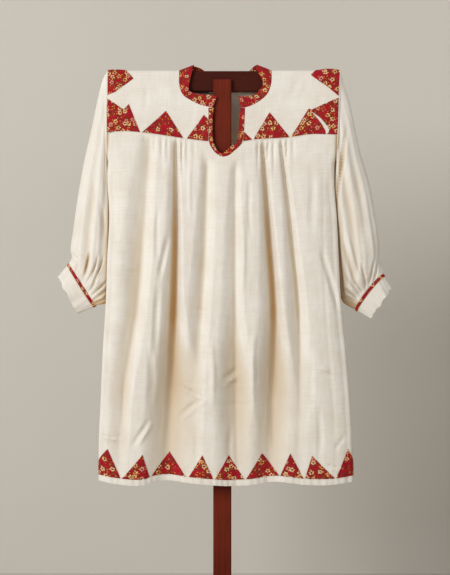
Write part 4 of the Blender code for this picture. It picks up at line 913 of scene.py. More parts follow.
# Hem band: one strip of muslin, doubled, sewn round the lower edge so that it covers the raw edges.
# It stands slightly proud of the skirt and ripples where the seam draws it in.
HEM_BAND = 13.0
BAND = 1.6
BAND_PUFF = 0.5
BAND_RIPPLE = 0.35
band_rings = []
band_normals = []
for step in (0.0, 0.12, 0.5, 0.88, 1.0):
    ring, ways = [], []
    for face in ("front", "back"):
        columns, _, place, facing = skirts[face]
        foot = np.full(len(columns), PANEL_DROP)
        points = place(columns, foot)
        normals = normals_of(place, columns, foot) * facing
        normals[:, 2] = 0
        normals[[0, -1], 1] = 0
        normals = unit(normals)
        puff = BAND_PUFF * math.sin(math.pi * step)
        wave = BAND_RIPPLE * step * np.sin(points[:, 0] / 6.5 + 2 * np.sin(points[:, 0] / 41))
        points = points + normals * (puff + wave)[:, None]
        points[:, 2] -= SEAM + HEM_BAND * step
        if face == "back":
            points, normals = points[-2:0:-1], normals[-2:0:-1]
        ring.append(points)
        ways.append(normals)
    band_rings.append(np.vstack(ring))
    band_normals.append(np.vstack(ways))
band_rings = np.array(band_rings)
band_normals = np.array(band_normals)
for k in (0, len(skirts["front"][0]) - 1):
    band_rings[:, k, 1] = SEAM_Y


def ring_faces(tall, wide):
    """Faces of a tube of rings."""
    return [(i * wide + j, i * wide + (j + 1) % wide, (i + 1) * wide + (j + 1) % wide, (i + 1) * wide + j)
            for i in range(tall - 1) for j in range(wide)]


def ring_flat(rings):
    """A tube's flat pattern: along the ring and down the tube, in millimetres."""
    around = np.linalg.norm(np.diff(rings, axis=1, append=rings[:, :1]), axis=2).mean(axis=0)
    down = np.linalg.norm(np.diff(rings, axis=0), axis=2).mean(axis=1)
    u = np.concatenate([[0], np.cumsum(around)[:-1]])
    v = np.concatenate([[0], np.cumsum(down)])
    return np.stack(np.meshgrid(v, u, indexing="ij")[::-1], -1).reshape(-1, 2)


def facing_out(faces, points, normals):
    """Faces turned so that they look the way their normals point."""
    a, b, c = (points[[f[k] for f in faces]] for k in (0, 1, 3))
    looks = (np.cross(b - a, c - a) * normals[[f[0] for f in faces]]).sum()
    return [f[::-1] for f in faces] if looks < 0 else faces


def tube(name, rings, normals, low, high, finish, shift, fold=None):
    """A cloth wall through closed rings, open at both ends, its outside away from the middle."""
    points, normals = rings.reshape(-1, 3), normals.reshape(-1, 3)
    faces = facing_out(ring_faces(*rings.shape[:2]), points, normals)
    return wall(name, points, normals, faces, ring_flat(rings) + shift, low, high, finish, fold)


hem_band = tube("hem_band_cloth", band_rings, band_normals, -BAND, 0.3, muslin, (300, 2000))
rides(hem_band, "muslin", "hem_band")


# Sleeves: full muslin sleeves set into straight armholes and gathered at the wrist.
# They hang from the shoulder with a few long soft folds, and small pleats crowd above the cuff.
SLEEVES = {
    LEFT: table("part outer_x outer_z inner_x inner_z half middle", [
        (0, -254, 1302, -254, 1101.2, 0, 0), (1, -267, 1276, -253.5, 1082, 25, 6),
        (2, -282.5, 1212, -250, 1040, 30, 8), (3, -297, 1146, -247, 999, 34, 10),
        (4, -311.5, 1080, -246, 957, 36, 12), (5, -322.5, 1017, -246, 913, 37, 13),
        (6, -332, 952, -246, 869, 38, 14), (7, -337.5, 908, -247.5, 825, 37, 14),
        (8, -335, 889, -256.5, 788.5, 29, 13), (9, -340.5, 874.5, -280, 781, 15, 11),
    ]),
    RIGHT: table("part outer_x outer_z inner_x inner_z half middle", [
        (0, 262, 1302, 250, 1096.8, 0, 0), (1, 267, 1279, 249.5, 1076, 25, 6),
        (2, 282, 1235, 246, 1042, 30, 8), (3, 295.5, 1177, 246, 1010, 34, 10),
        (4, 308, 1118, 248, 975, 36, 12), (5, 328.5, 1050, 250, 935, 37, 13),
        (6, 340, 985, 253, 888, 38, 14), (7, 349, 925, 257, 842, 37, 14),
        (8, 351, 880, 266, 792, 29, 13), (9, 358.5, 851, 295, 772, 15, 11),
    ]),
}
SLEEVE_COLUMNS = 168
SLEEVE_RINGS = 110
WRIST_RINGS = 36
BACK_SHIFT = (5, 9)
PRESSED = 0.55
# Painted shade on the sleeve's inner line, where it hangs against the body
INNER_SHADE = 0.8
ROUND = 2 * math.pi * np.arange(SLEEVE_COLUMNS) / SLEEVE_COLUMNS
# Painted shade: the depth where a furrow or a pleat starts to be shaded warm, and the depth it takes to be full
FURROW_SHADE = (4.5, 14)
PLEAT_SHADE = (0.8, 7)
# Lengthwise furrows: angle round from the outer line, half-width, depth at five parts down the sleeve
SLEEVE_FURROWS = {
    LEFT: [(78, 26, (0, 3, 8, 8, 3)), (128, 24, (0, 4, 5, 4, 2)), (235, 28, (0, 5, 8, 7, 2)),
           (300, 26, (0, 4, 7, 6, 2)), (52, 11, (0, 0, 1.5, 2.5, 2)), (104, 10, (0, 1, 1.2, 2.6, 2.5)),
           (152, 11, (0, 1, 1.5, 2, 2)), (205, 12, (0, 1, 2, 2, 2)), (268, 11, (0, 1, 2, 2, 2))],
    RIGHT: [(62, 22, (0, 3, 5, 5, 3)), (102, 24, (0, 5, 9, 8, 3)), (230, 28, (0, 4, 8, 7, 2)),
            (295, 26, (0, 5, 7, 6, 2)), (40, 10, (0, 1, 1.5, 2.5, 2)), (82, 9, (0, 0.5, 1, 2.2, 2.5)),
            (128, 12, (0, 1, 2.4, 2.6, 2)), (152, 10, (0, 1, 2, 3, 2.5)), (262, 12, (0, 1, 2, 2, 2))],
}
CUFF_GATHERS = 11
CUFF_GATHER_DEPTH = 2.0
# Sharp pleats that run up from the cuff's seam, and the soft creases over them, as seen from the front:
# three points of a bend as x and z, half-width and depth. The back of each sleeve has the same ones, shifted.
SLEEVE_CREASES = {
    LEFT: table("x0 z0 x1 z1 x2 z2 half depth", [
        (-293, 900, -297, 874, -308, 836, 4.5, 7.0), (-273, 892, -280, 868, -292, 832, 4, 6.5),
        (-262, 890, -270, 860, -291, 816, 4, 7.0), (-248, 838, -266, 828, -292, 798, 5, 7.0),
        (-244, 820, -264, 812, -294, 786, 6, 7.5), (-246, 798, -266, 797, -296, 778, 4, 5.0),
        (-318, 878, -322, 862, -330, 838, 4, 4.0), (-284, 864, -290, 848, -302, 826, 3, 4.0),
        (-270, 848, -280, 832, -296, 810, 3, 4.0), (-338, 902, -326, 893, -316, 880, 6, 4.0),
        (-268, 1010, -262, 970, -258, 930, 8, 3.0), (-330, 930, -322, 910, -318, 884, 6, -2.5),
    ]),
    RIGHT: table("x0 z0 x1 z1 x2 z2 half depth", [
        (266, 932, 276, 880, 296, 822, 7, 6.0), (277, 936, 286, 888, 304, 838, 6, -4.5),
        (256, 822, 282, 816, 306, 790, 5, 7.0), (254, 806, 280, 803, 304, 782, 4.5, 7.0),
        (264, 862, 282, 830, 312, 800, 6, 5.0), (336, 884, 332, 860, 324, 824, 4.5, 5.5),
        (346, 882, 343, 862, 336, 834, 4, 5.0), (306, 872, 314, 846, 318, 816, 4.5, 5.5),
        (291, 838, 302, 822, 316, 804, 4, 5.0), (326, 1020, 336, 940, 349, 868, 10, 2.5),
        (352, 900, 352, 880, 350, 856, 5, 3.0), (274, 1172, 261, 1084, 249, 985, 8, 7.0),
        (290, 1120, 300, 980, 318, 838, 14, 3.5), (256, 1060, 250, 1010, 250, 960, 6, 3.0),
    ]),
}
CUFF_ENDS = {LEFT: (-365, 845.5, -320, 763), RIGHT: (373.5, 818, 329, 754.5)}
# The right wrist tips, so its seam bows up over the front
WRIST_BOW = {LEFT: 0.0, RIGHT: 8.0}
# The direction in which each wrist points
falls = {}
for side in (LEFT, RIGHT):
    rows, tip = SLEEVES[side], CUFF_ENDS[side]
    fall = np.array([tip[0] + tip[2] - rows["outer_x"][-1] - rows["inner_x"][-1], 0,
                     tip[1] + tip[3] - rows["outer_z"][-1] - rows["inner_z"][-1]])
    falls[side] = fall / np.linalg.norm(fall)


def armhole_loop(side, count):
    """Points round the armhole, from the shoulder down the front and up the back."""
    top = SHOULDER - CORNER
    bottom = underarm_height(side)
    levels = top + (bottom - top) * np.sin(math.pi / 2 * np.arange(1, 25) / 24)
    halves = []
    for face, sign in (("front", -1), ("back", 1)):
        run = np.linspace(0, OVER, 8)
        turn = np.clip((run - TOP_FLAT) / CORNER, 0, math.pi / 2)
        y = MIDDLE + sign * (np.minimum(run, TOP_FLAT) + CORNER * np.sin(turn))
        z = SHOULDER - CORNER * (1 - np.cos(turn))
        fall_y = curve(DEPTH, "z", face, levels) - sign * armhole_pull(side, levels, face)
        halves.append(np.stack([np.concatenate([y, fall_y]), np.concatenate([z, levels])], axis=1))
    loop = np.vstack([halves[0], halves[1][::-1]])
    run = np.concatenate([[0], np.cumsum(np.linalg.norm(np.diff(loop, axis=0, append=loop[:1]), axis=1))])
    loop = np.vstack([loop, loop[:1]])
    wanted = np.arange(count) * run[-1] / count
    return np.stack([np.interp(wanted, run, loop[:, k]) for k in range(2)], axis=1)


def sleeve_furrow(side, angle, part):
    """Depth of the lengthwise furrows and of the small gathers above the cuff."""
    total = np.zeros(len(angle))
    for middle, half, depths in SLEEVE_FURROWS[side]:
        offset = (np.degrees(angle) - middle + 180) % 360 - 180
        long = 1 - 0.8 * ease((part - 7.2) / 1.2)
        total += np.interp(part, (0, 2.25, 4.5, 6.75, 9), depths) * long * furrow(offset, half, half)
    near = ease((part - 8.0) / 0.8) * (1 - 0.55 * ease((part - 8.5) / 0.5))
    total += CUFF_GATHER_DEPTH * near * (0.5 - 0.5 * np.cos(CUFF_GATHERS * angle))
    total += 0.7 * ease(part / 2) * softness(np.degrees(angle), part * 40, 21 + side, 70)
    return total


def sleeve_crease(side, angle, part, x, z):
    """Depth of the pleats and creases, on the front and, shifted a little, on the back."""
    back = np.sin(angle) < 0
    found = crease_depth(SLEEVE_CREASES[side], x + np.where(back, BACK_SHIFT[0] * side, 0),
                         z + np.where(back, BACK_SHIFT[1], 0))
    return found * (1 - 0.7 * ease((part - 8.7) / 0.3))


def sleeve_ring(side, part):
    """One ring of a sleeve."""
    rows = SLEEVES[side]
    outer_x, outer_z, inner_x, inner_z = (curve(rows, "part", name, part)
                                          for name in ("outer_x", "outer_z", "inner_x", "inner_z"))
    loop = armhole_loop(side, SLEEVE_COLUMNS)
    middles = (loop.max(axis=0) + loop.min(axis=0)) / 2
    halves = (loop.max(axis=0) - loop.min(axis=0)) / 2
    near = 1 - ease(part / 2.6)
    half = curve(rows, "part", "half", part)
    half = max(half, 20) if part < 1 else half
    half = near * halves[0] + (1 - near) * half
    middle = near * middles[0] + (1 - near) * curve(rows, "part", "middle", part)
    length = math.hypot(outer_x - inner_x, outer_z - inner_z) / 2
    angle = ROUND
    shrink = sleeve_furrow(side, angle, part)
    along = (loop[:, 1] - middles[1]) / halves[1] * near + np.cos(angle) * (1 - near)
    # The side that hangs against the body is squarer
    pressed = np.where(np.cos(angle) < 0, PRESSED, 1.0)
    round_depth = np.sign(np.sin(angle)) * np.abs(np.sin(angle)) ** pressed
    depth = (loop[:, 0] - middles[0]) / halves[0] * near - round_depth * (1 - near)
    along = along * (1 - shrink / length)
    depth = depth * (1 - shrink / half)
    x = (outer_x + inner_x) / 2 + (outer_x - inner_x) / 2 * along
    z = (outer_z + inner_z) / 2 + (outer_z - inner_z) / 2 * along
    if part == 0:
        x = curve(OUTLINE, "z", "left" if side == LEFT else "right", z) + side * SEAM
    y = middle + half * depth
    bow = WRIST_BOW[side] * ease((part - 7) / 2) * np.sin(angle)
    x = x - bow * falls[side][0]
    z = z - bow * falls[side][2]
    crease = sleeve_crease(side, angle, part, x, z)
    y = y + crease * np.sign(np.sin(angle)) * np.sqrt(np.abs(np.sin(angle)))
    return np.stack([x, y, z], axis=-1)


def ring_normals(rings):
    """Outward normals of closed rings."""
    around = np.roll(rings, -1, axis=1) - np.roll(rings, 1, axis=1)
    found = unit(np.cross(around, np.gradient(rings, axis=0)))
    outward = rings - rings.mean(axis=1, keepdims=True)
    return found if (found * outward).sum() > 0 else -found


def square_end(normals, index, direction):
    """Turns an end ring's normals square to the tube's direction there."""
    direction = np.array(direction, float) / np.linalg.norm(direction)
    normals[index] = unit(normals[index] - np.outer(normals[index] @ direction, direction))


for side, word in ((LEFT, "left"), (RIGHT, "right")):
    parts = np.concatenate([np.linspace(0, 7, SLEEVE_RINGS - WRIST_RINGS + 1)[:-1],
                            np.linspace(7, 9, WRIST_RINGS)])
    rings = np.array([sleeve_ring(side, part) for part in parts])
    # How much painted shade each point of the sleeve takes, from its furrows and pleats
    deep = []
    for part, ring in zip(parts, rings):
        found = (sleeve_furrow(side, ROUND, part) - FURROW_SHADE[0]) / FURROW_SHADE[1]
        pleats = sleeve_crease(side, ROUND, part, ring[:, 0], ring[:, 2])
        found += np.maximum(pleats - PLEAT_SHADE[0], 0) / PLEAT_SHADE[1]
        # The inner line hangs against the body and has painted shade too
        inner_shade = ease((-np.cos(ROUND) - 0.55) / 0.4) * ease(part / 1.5)
        deep.append(np.maximum(np.clip(found, 0, 1), INNER_SHADE * inner_shade))
    normals = ring_normals(rings)
    square_end(normals, 0, (1, 0, 0))
    square_end(normals, -1, falls[side])
    made = tube(f"sleeve_{word}_cloth", rings, normals, *MUSLIN_WALL, muslin, (2000, 1000 * side),
                np.ravel(deep))
    rides(made, "muslin", "sleeve_" + word)


# Cuffs: a narrow folded strip of red calico set in the seam as piping, and a plain doubled muslin band.
# The band is soft and unstiffened, so its free edge waves and rolls a little.
CALICO_RED = "#BC0C24"
CALICO_DEEP = "#8C081A"
CUFF_HALF = 17.0
CUFF_LENGTH = 40.0
PIPING = 6.5
CUFF_TOP = 2 * SEAM + PIPING
CUFF_WAVES = {LEFT: (3, 1.0), RIGHT: (4, 2.6)}
FLOWER_SPACING = 14.5
PETAL = (3.3, 1.6)
PETAL_COLOURS = ("#EACF9C", "#D99A35", "#E0A08A")
LEAF = "#40301A"
SPRIG = "#7C5A26"
HEART = "#5E1A12"


def calico_finish():
    """Red calico: close cotton printed with small five-petalled flowers, leaves, stems and golden buds."""
    made, tree, shader = finish_named("red flowered calico")
    mm = flat_place(tree)

    def maths(operation, *values):
        return figure(tree, operation, *values)

    def length(x, y):
        return maths("SQRT", maths("ADD", maths("MULTIPLY", x, x), maths("MULTIPLY", y, y)))

    def scattered(spacing, shift):
        """The nearest motif's place: x, y and distance from it, and three random numbers."""
        where = node(tree, "ShaderNodeVectorMath", {0: mm, 1: shift}, operation="ADD").outputs[0]
        cells = {"Vector": where, "Scale": 1 / spacing, "Randomness": 0.85}
        cells = node(tree, "ShaderNodeTexVoronoi", cells, voronoi_dimensions="2D")
        from_it = node(tree, "ShaderNodeVectorMath", {0: where, 1: cells.outputs["Position"]},
                       operation="SUBTRACT")
        xyz = node(tree, "ShaderNodeSeparateXYZ", {0: from_it.outputs[0]}).outputs
        chance = node(tree, "ShaderNodeSeparateColor", {0: cells.outputs["Color"]}).outputs
        return xyz[0], xyz[1], length(xyz[0], xyz[1]), chance

    def painted(under, mask, colour):
        return mixed(tree, mask, under, colour)

    print_ = painted(linear(CALICO_DEEP), noise(tree, mm, 0.05, 3.0, flat=True), linear(CALICO_RED))
    flower_x, flower_y, from_flower, flower_chance = scattered(FLOWER_SPACING, (0.0, 0.0, 0.0))
    shown = maths("GREATER_THAN", flower_chance[2], 0.3)
    # Stems wander round the flowers on lines of equal height of a smooth noise
    off_line = maths("ABSOLUTE", maths("SUBTRACT", noise(tree, mm, 0.11, 1.0, flat=True), 0.5))
    stem = maths("MULTIPLY", maths("LESS_THAN", off_line, 0.014), maths("LESS_THAN", from_flower, 9.5))
    print_ = painted(print_, maths("MULTIPLY", stem, 0.75), linear(SPRIG))
    # Leaves: small ovals turned every way, dark ones and lighter ones
    for spacing, shift, half, colour in ((4.8, (11.0, 2.0, 0.0), (2.5, 1.05), LEAF),
                                         (6.9, (4.0, 17.0, 0.0), (2.0, 0.8), SPRIG)):
        x, y, _, chance = scattered(spacing, shift)
        turn = maths("MULTIPLY", chance[0], 6.28)
        cosine, sine = maths("COSINE", turn), maths("SINE", turn)
        along = maths("ADD", maths("MULTIPLY", x, cosine), maths("MULTIPLY", y, sine))
        across = maths("SUBTRACT", maths("MULTIPLY", y, cosine), maths("MULTIPLY", x, sine))
        oval = maths("ADD", maths("POWER", maths("DIVIDE", along, half[0]), 2.0),
                     maths("POWER", maths("DIVIDE", across, half[1]), 2.0))
        leafy = maths("MULTIPLY", maths("LESS_THAN", oval, 1.0), maths("GREATER_THAN", chance[1], 0.45))
        leafy = maths("MULTIPLY", leafy, maths("LESS_THAN", from_flower, 8.8))
        print_ = painted(print_, maths("MULTIPLY", leafy, 0.85), linear(colour))
    # Flowers: five round petals about a deep heart
    x, y, far, chance = flower_x, flower_y, from_flower, flower_chance
    turn = maths("ADD", maths("ARCTAN2", y, x), maths("MULTIPLY", chance[1], 6.28))
    fifth = maths("SUBTRACT", maths("FLOORED_MODULO", turn, 2 * math.pi / 5), math.pi / 5)
    out = maths("SUBTRACT", maths("MULTIPLY", far, maths("COSINE", fifth)), PETAL[0])
    off = maths("MULTIPLY", far, maths("SINE", fifth))
    round_ = length(out, off)
    # The block printed unevenly: petals differ in size and run from cream to gold inside one flower
    uneven = maths("SUBTRACT", noise(tree, mm, 0.3, 2.0, flat=True), 0.5)
    round_ = maths("ADD", round_, maths("MULTIPLY", uneven, 3.4))
    gold = maths("GREATER_THAN", maths("ADD", chance[0], maths("MULTIPLY", uneven, 2.5)), 0.55)
    petal = painted(linear(PETAL_COLOURS[0]), gold, linear(PETAL_COLOURS[1]))
    petal = painted(petal, maths("GREATER_THAN", chance[0], 0.85), linear(PETAL_COLOURS[2]))
    print_ = painted(print_, maths("MULTIPLY", maths("LESS_THAN", far, 1.6), shown), linear(HEART))
    print_ = painted(print_, maths("MULTIPLY", maths("LESS_THAN", round_, PETAL[1]), shown), petal)
    # Buds: small golden dots between the flowers
    _, _, far, chance = scattered(6.2, (5.0, 9.0, 0.0))
    bud = maths("MULTIPLY", maths("LESS_THAN", far, 1.2), maths("GREATER_THAN", chance[0], 0.6))
    bud = maths("MULTIPLY", bud, maths("LESS_THAN", from_flower, 9.0))
    print_ = painted(print_, bud, linear(PETAL_COLOURS[1]))
    coat(tree, shader, print_, {"Roughness": 0.85, "Specular IOR Level": 0.25, "Sheen Weight": 0.08},
         (noise(tree, mm, 1.1, 2.0, flat=True), 0.25, 0.0005))
    return made


calico = calico_finish()


def cuff_ring(side, run):
    """A ring of the cuff, so many millimetres below the sleeve's end."""
    rows, tip = SLEEVES[side], CUFF_ENDS[side]
    share = run / CUFF_LENGTH
    outer = np.array([rows["outer_x"][-1], 0, rows["outer_z"][-1]])
    inner = np.array([rows["inner_x"][-1], 0, rows["inner_z"][-1]])
    outer = outer + (np.array([tip[0], 0, tip[1]]) - outer) * share
    inner = inner + (np.array([tip[2], 0, tip[3]]) - inner) * share
    half = rows["half"][-1] + (CUFF_HALF - rows["half"][-1]) * share
    chord = (outer - inner) / 2
    count, depth = CUFF_WAVES[side]
    angle = ROUND
    flare = share**2 * (1.1 * np.sin(6 * angle + side) + 0.8 * np.sin(11 * angle + 2))
    grow = 1 + (depth * share * np.cos(count * angle + 1) + flare) / half
    length = np.linalg.norm(chord)
    ring = (outer + inner) / 2 + chord * (np.cos(angle) * (1 + (grow - 1) * half / length))[:, None]
    fall = falls[side]
    ring += fall * (share**3 * (1.3 * np.sin(7 * angle + 1 + side) + 0.9 * np.sin(12 * angle)))[:, None]
    ring -= fall * (WRIST_BOW[side] * (1 - share) * np.sin(angle))[:, None]
    ring[:, 1] = rows["middle"][-1] - half * np.sin(angle) * grow
    fine = 0.5 * (1 - share) * np.cos(18 * angle + 2 * np.sin(2 * angle))
    outward = np.stack([chord[0] * np.cos(angle) / length, -np.sin(angle),
                        chord[2] * np.cos(angle) / length], -1)
    return ring + outward * fine[:, None]


def wrist(side, name, runs, low, high, finish, shift):
    """A short tube round the sleeve's end."""
    rings = np.array([cuff_ring(side, run) for run in runs])
    normals = ring_normals(rings)
    square_end(normals, 0, falls[side])
    square_end(normals, -1, falls[side])
    return tube(name, rings, normals, low, high, finish, shift)


for side, word in ((LEFT, "left"), (RIGHT, "right")):
    made = wrist(side, f"cuff_piping_{word}_cloth", np.linspace(SEAM, SEAM + PIPING, 5), -0.3, 0.9, calico,
                 (400, 300 * side))
    rides(made, "calico", "cuff_piping_" + word)
    # The strip is cut 10 mm wide, and 6.5 mm of it shows
    made = wrist(side, f"cuff_{word}_cloth", np.linspace(CUFF_TOP, CUFF_LENGTH, 18), -BAND, 0.2, muslin,
                 (2600, 1000 * side))
    rides(made, "muslin", "cuff_" + word)


# Neckband and slit binding: strips of the red calico folded over the raw edges and topstitched.
# The neckband stands up a little over the shoulders; the binding runs round the U of the front slit.
STRIP_STEPS = np.array([0.0, 0.06, 0.25, 0.5, 0.75, 0.94, 1.0])
STRIP_PUFF = 0.55
STRIP_WALL = (-1.1, 0.1)


def band_sheet(solid, outer, inner, rise, flat, shift):
    """A strip of calico between two lines of points, puffed between them."""
    wide = len(STRIP_STEPS)
    points = outer[:, None] + (inner - outer)[:, None] * STRIP_STEPS[None, :, None]
    normals = unit(np.cross(np.gradient(points, axis=0), np.gradient(points, axis=1)))
    if (normals * rise[:, None]).sum() < 0:
        normals = -normals
    puff = STRIP_PUFF * np.sin(np.pi * STRIP_STEPS) ** 0.5
    points = (points + normals * puff[None, :, None]).reshape(-1, 3)
    normals = normals.reshape(-1, 3)
    faces = [(i * wide + j, (i + 1) * wide + j, (i + 1) * wide + j + 1, i * wide + j + 1)
             for i in range(len(outer) - 1) for j in range(wide - 1)]
    faces = facing_out(faces, points, normals)
    u = np.concatenate([[0], np.cumsum(np.linalg.norm(np.diff(outer, axis=0), axis=1))])
    v = np.linalg.norm(inner - outer, axis=1)[:, None] * STRIP_STEPS
    chart = np.stack([np.repeat(u[:, None], wide, axis=1), v], -1).reshape(-1, 2) + shift
    made = wall(solid + "_cloth", points, normals, faces, chart, *STRIP_WALL, calico)
    rides(made, "calico", solid)


outer, inner = neck_line("outer"), neck_line("inner")
ways = normals_of(yoke_place, *outer.T)
inner_ways = normals_of(yoke_place, *inner.T)
lifts = rounded(NECKBAND["lift"][:, None], 4)
# Behind the crossbar the inner edge stands up and sinks towards the middle of the back
stands = np.array([0] * 8 + [1, 3, 6, 11, 18, 25, 23, 9, 5, 9, 17, 27, 18, 8, 4, 3, 1] + [0] * 8, float)
stands = rounded(stands[:, None], 4)
neck_outer = yoke_place(*outer.T)
neck_inner = yoke_place(*inner.T) + inner_ways * lifts + np.array([0, 0, 1]) * stands
band_sheet("neckband", neck_outer, neck_inner, ways, (0.52, 0.03), (150, 60))
edges = []
for line in (binding_line("outer"), binding_line("inner")):
    edges.append(np.stack([line[:, 0], face_depth(line[:, 0], line[:, 1], "front"), line[:, 1]], axis=1))
forward = np.array([[0.0, -1.0, 0.0]] * len(edges[0]))
band_sheet("slit_binding", *edges, forward, (0.26, 0.011), (500, 900))


# Triangles: points of the same calico with turned edges, sewn round the yoke and along the hem.
# Each was cut from another place of the cloth, so the flowers fall differently on each.
# Corners as x and z, or as x, None and the way along the cloth over the crossbar
YOKE_FRONT = {
    "shoulder_left": ((-253, None, -35), (-253, 1246), (-235, 1253), (-196, 1283)),
    "corner_left": ((-253, 1238), (-254, 1163), (-181, 1163), (-206, 1225), (-217, 1213)),
    "row_left": ((-176, 1163), (-86, 1150), (-124, 1210)),
    "slit_left": ((-78, 1149), (-30.6, 1143), (-31.2, 1192), (-40.5, 1201)),
    "slit_right": ((45.2, 1143), (65.5, 1146.5), (48.5, 1163)),
    "row_right": ((68.5, 1147), (148, 1152), (104, 1207)),
    "corner_right": (
        (151.5, 1153), (227, 1158.5), (226.5, 1166), (219, 1180), (210, 1192), (201, 1202.5),
        (197, 1207), (197, 1212.5), (190, 1215),
    ),
    "armhole_right": (
        (253, 1158.5), (256, 1240), (232, 1229), (197.4, 1213), (197.4, 1208),
        (202.5, 1204.5), (214, 1196), (226, 1183), (235.5, 1168), (233, 1162), (230, 1158.8),
    ),
    "shoulder_right": ((260, None, -42), (195, 1291), (214, 1277), (232, 1264), (256, 1244)),
}
YOKE_BACK = {
    "back_corner_left": ((-253, 1234), (-206, 1224), (-181, 1161), (-254, 1161)),
    "back_row_1": ((-176, 1161), (-135, 1214), (-92, 1158)),
    "back_row_2": ((-88, 1158), (-44, 1212), (-3, 1156.6)),
    "back_row_3": ((2, 1156.6), (46, 1211), (88, 1157.5)),
    "back_row_4": ((92, 1157.5), (134, 1213), (174, 1158.5)),
    "back_corner_right": ((179, 1158.5), (205, 1222), (254, 1236), (254, 1158.5)),
}
HEMS = {
    "front": table("left apex right height", [
        (-304, -249, -221.5, 60), (-218.5, -173, -158.5, 53), (-154.5, -115, -80, 50),
        (-72.5, -42.5, -19.5, 51), (-16, 14.5, 48.5, 54), (52, 87.5, 124.5, 53), (127, 149, 177, 52),
        (180, 196, 245, 51), (248, 275, 312, 60),
    ]),
    "back": table("left apex right height", [
        (-255, -228, -199, 56), (-196, -166, -138, 52), (-135, -108, -80, 53), (-77, -47, -19, 51),
        (-16, 12, 42, 54), (45, 73, 101, 52), (104, 133, 160, 53), (163, 192, 218, 51), (221, 249, 273, 56),
    ]),
}
PATCH_LIFT = 0.35
PUFFED = {"shoulder_right": 2.6, "shoulder_left": 1.2}
CALICO = 0.7
FOLLOWS_HEM = 45.0
draw = np.random.default_rng(7)
patches = []


def patch(solid, columns, rows, place, outline, facing, puff=0.0):
    """One triangle, cut from its panel and laid on it, or puffed up a little between its edges."""
    patches.append((outline, place, facing))
    spots, faces = cut(columns, rows, outline)
    p, q = spots.T
    normals = normals_of(place, p, q) * facing
    points = place(p, q)
    if puff:
        line = np.array([*outline, outline[0]], float)
        t = np.linspace(0, 1, 20, endpoint=False)[:, None, None]
        rim = (line[:-1] + (line[1:] - line[:-1]) * t).reshape(-1, 2)
        far = np.hypot(p[:, None] - rim[:, 0], q[:, None] - rim[:, 1]).min(axis=1)
        lump = puff * (1 - np.exp(-(far / 7) ** 2)) * (1 + 0.35 * np.sin(p / 6) * np.cos(q / 5))
        points = points + normals * lump[:, None]
    if facing < 0:
        faces = [f[::-1] for f in faces]
    turn = draw.uniform(0, 2 * math.pi)
    spin = np.array([[math.cos(turn), -math.sin(turn)], [math.sin(turn), math.cos(turn)]])
    chart = spots @ spin + draw.uniform(-900, 900, 2)
    made = wall(solid + "_cloth", points, normals, faces, chart, PATCH_LIFT, PATCH_LIFT + CALICO, calico)
    rides(made, "calico", solid)
    outline = np.array(outline, float)
    size = outline.max(axis=0) - outline.min(axis=0)
    size = [round(float(s) / 1000, 3) for s in size]


for face, shapes in (("front", YOKE_FRONT), ("back", YOKE_BACK)):
    for name, corners in shapes.items():
        outline = [yoke_spot(*corner, face=face) for corner in corners]
        patch("triangle_" + name, yoke_columns, yoke_rows, yoke_place, outline, 1,
              PUFFED.get(name, 0.0))


def hem_p(x, face):
    """The column of a skirt panel at a place along the hem, or past its edge."""
    side = LEFT if x < 0 else RIGHT
    left, right = flat_ends(HEM_LEVEL, face)
    if left <= x <= right:
        return column_at(x, HEM_LEVEL, face)
    width, recess, rim, widest = turn_sizes(side, HEM_LEVEL, face)
    past = abs(x) - abs(rim)
    crown = width / (width + recess)
    if past > 0:
        w = crown + (1 - crown) * past / FOLLOWS_HEM
    else:
        w = (width - math.sqrt(max(width**2 - (width + recess) * (past + widest), 0.0))) / (width + recess)
    return float(side * (FLAT + TURN * min(w, 0.985)))


for face, rows_here in HEMS.items():
    columns, rows, place, facing = skirts[face]
    for k in range(len(rows_here["apex"])):
        left, apex, right = (hem_p(rows_here[part][k], face) for part in ("left", "apex", "right"))
        foot = PANEL_DROP - SEAM
        outline = [(left, foot), (right, foot), (apex, foot - rows_here["height"][k])]
        patch(f"hem_{face}_{k + 1}", columns, rows, place, outline, facing)


# Stitches: machine stitches of cotton thread, red along the calico's edges and undyed on the muslin bands.
# They run a little inside each edge and pull down slightly between the needle's holes.
STITCH_PITCH = 2.9
STITCH_LENGTH = 2.1
THREAD = 0.5
THREAD_COLOURS = {"calico": "#A3122A", "muslin": "#E6DCC6"}
# How far the sewing lies inside a triangle's edge and a cuff's, and across a strip and the hem band
EDGE_INSET = 1.5
CUFF_INSET = 1.6
STRIP_SHARES = (0.1, 0.9)
HEM_SHARE = 0.12
# How far the thread stands off each cloth
PATCH_STAND = PATCH_LIFT + CALICO + 0.1
STRIP_STAND = 0.65
CUFF_STAND = 0.35
sewn = {"calico": [], "muslin": []}


def inset(outline, distance):
    """Points a little inside a closed outline, close together along it, without the corners' tips."""
    line = np.array(outline, float)
    if signed_area(line) > 0:
        line = line[::-1]
    sides = np.roll(line, -1, axis=0) - line
    lengths = np.linalg.norm(sides, axis=1)
    inward = np.stack([sides[:, 1], -sides[:, 0]], axis=1) / lengths[:, None] * distance
    ring = []
    for k in range(len(line)):
        before, after = inward[k - 1], inward[k]
        ring.append(line[k] + (before + after) / max(1 + before @ after / distance**2, 0.35))
    found = []
    for a, b in zip(ring, np.roll(ring, -1, axis=0)):
        count = max(1, int(np.linalg.norm(b - a) / 4))
        found += [a + (b - a) * k / count for k in range(count)]
    return np.array(found + found[:1])


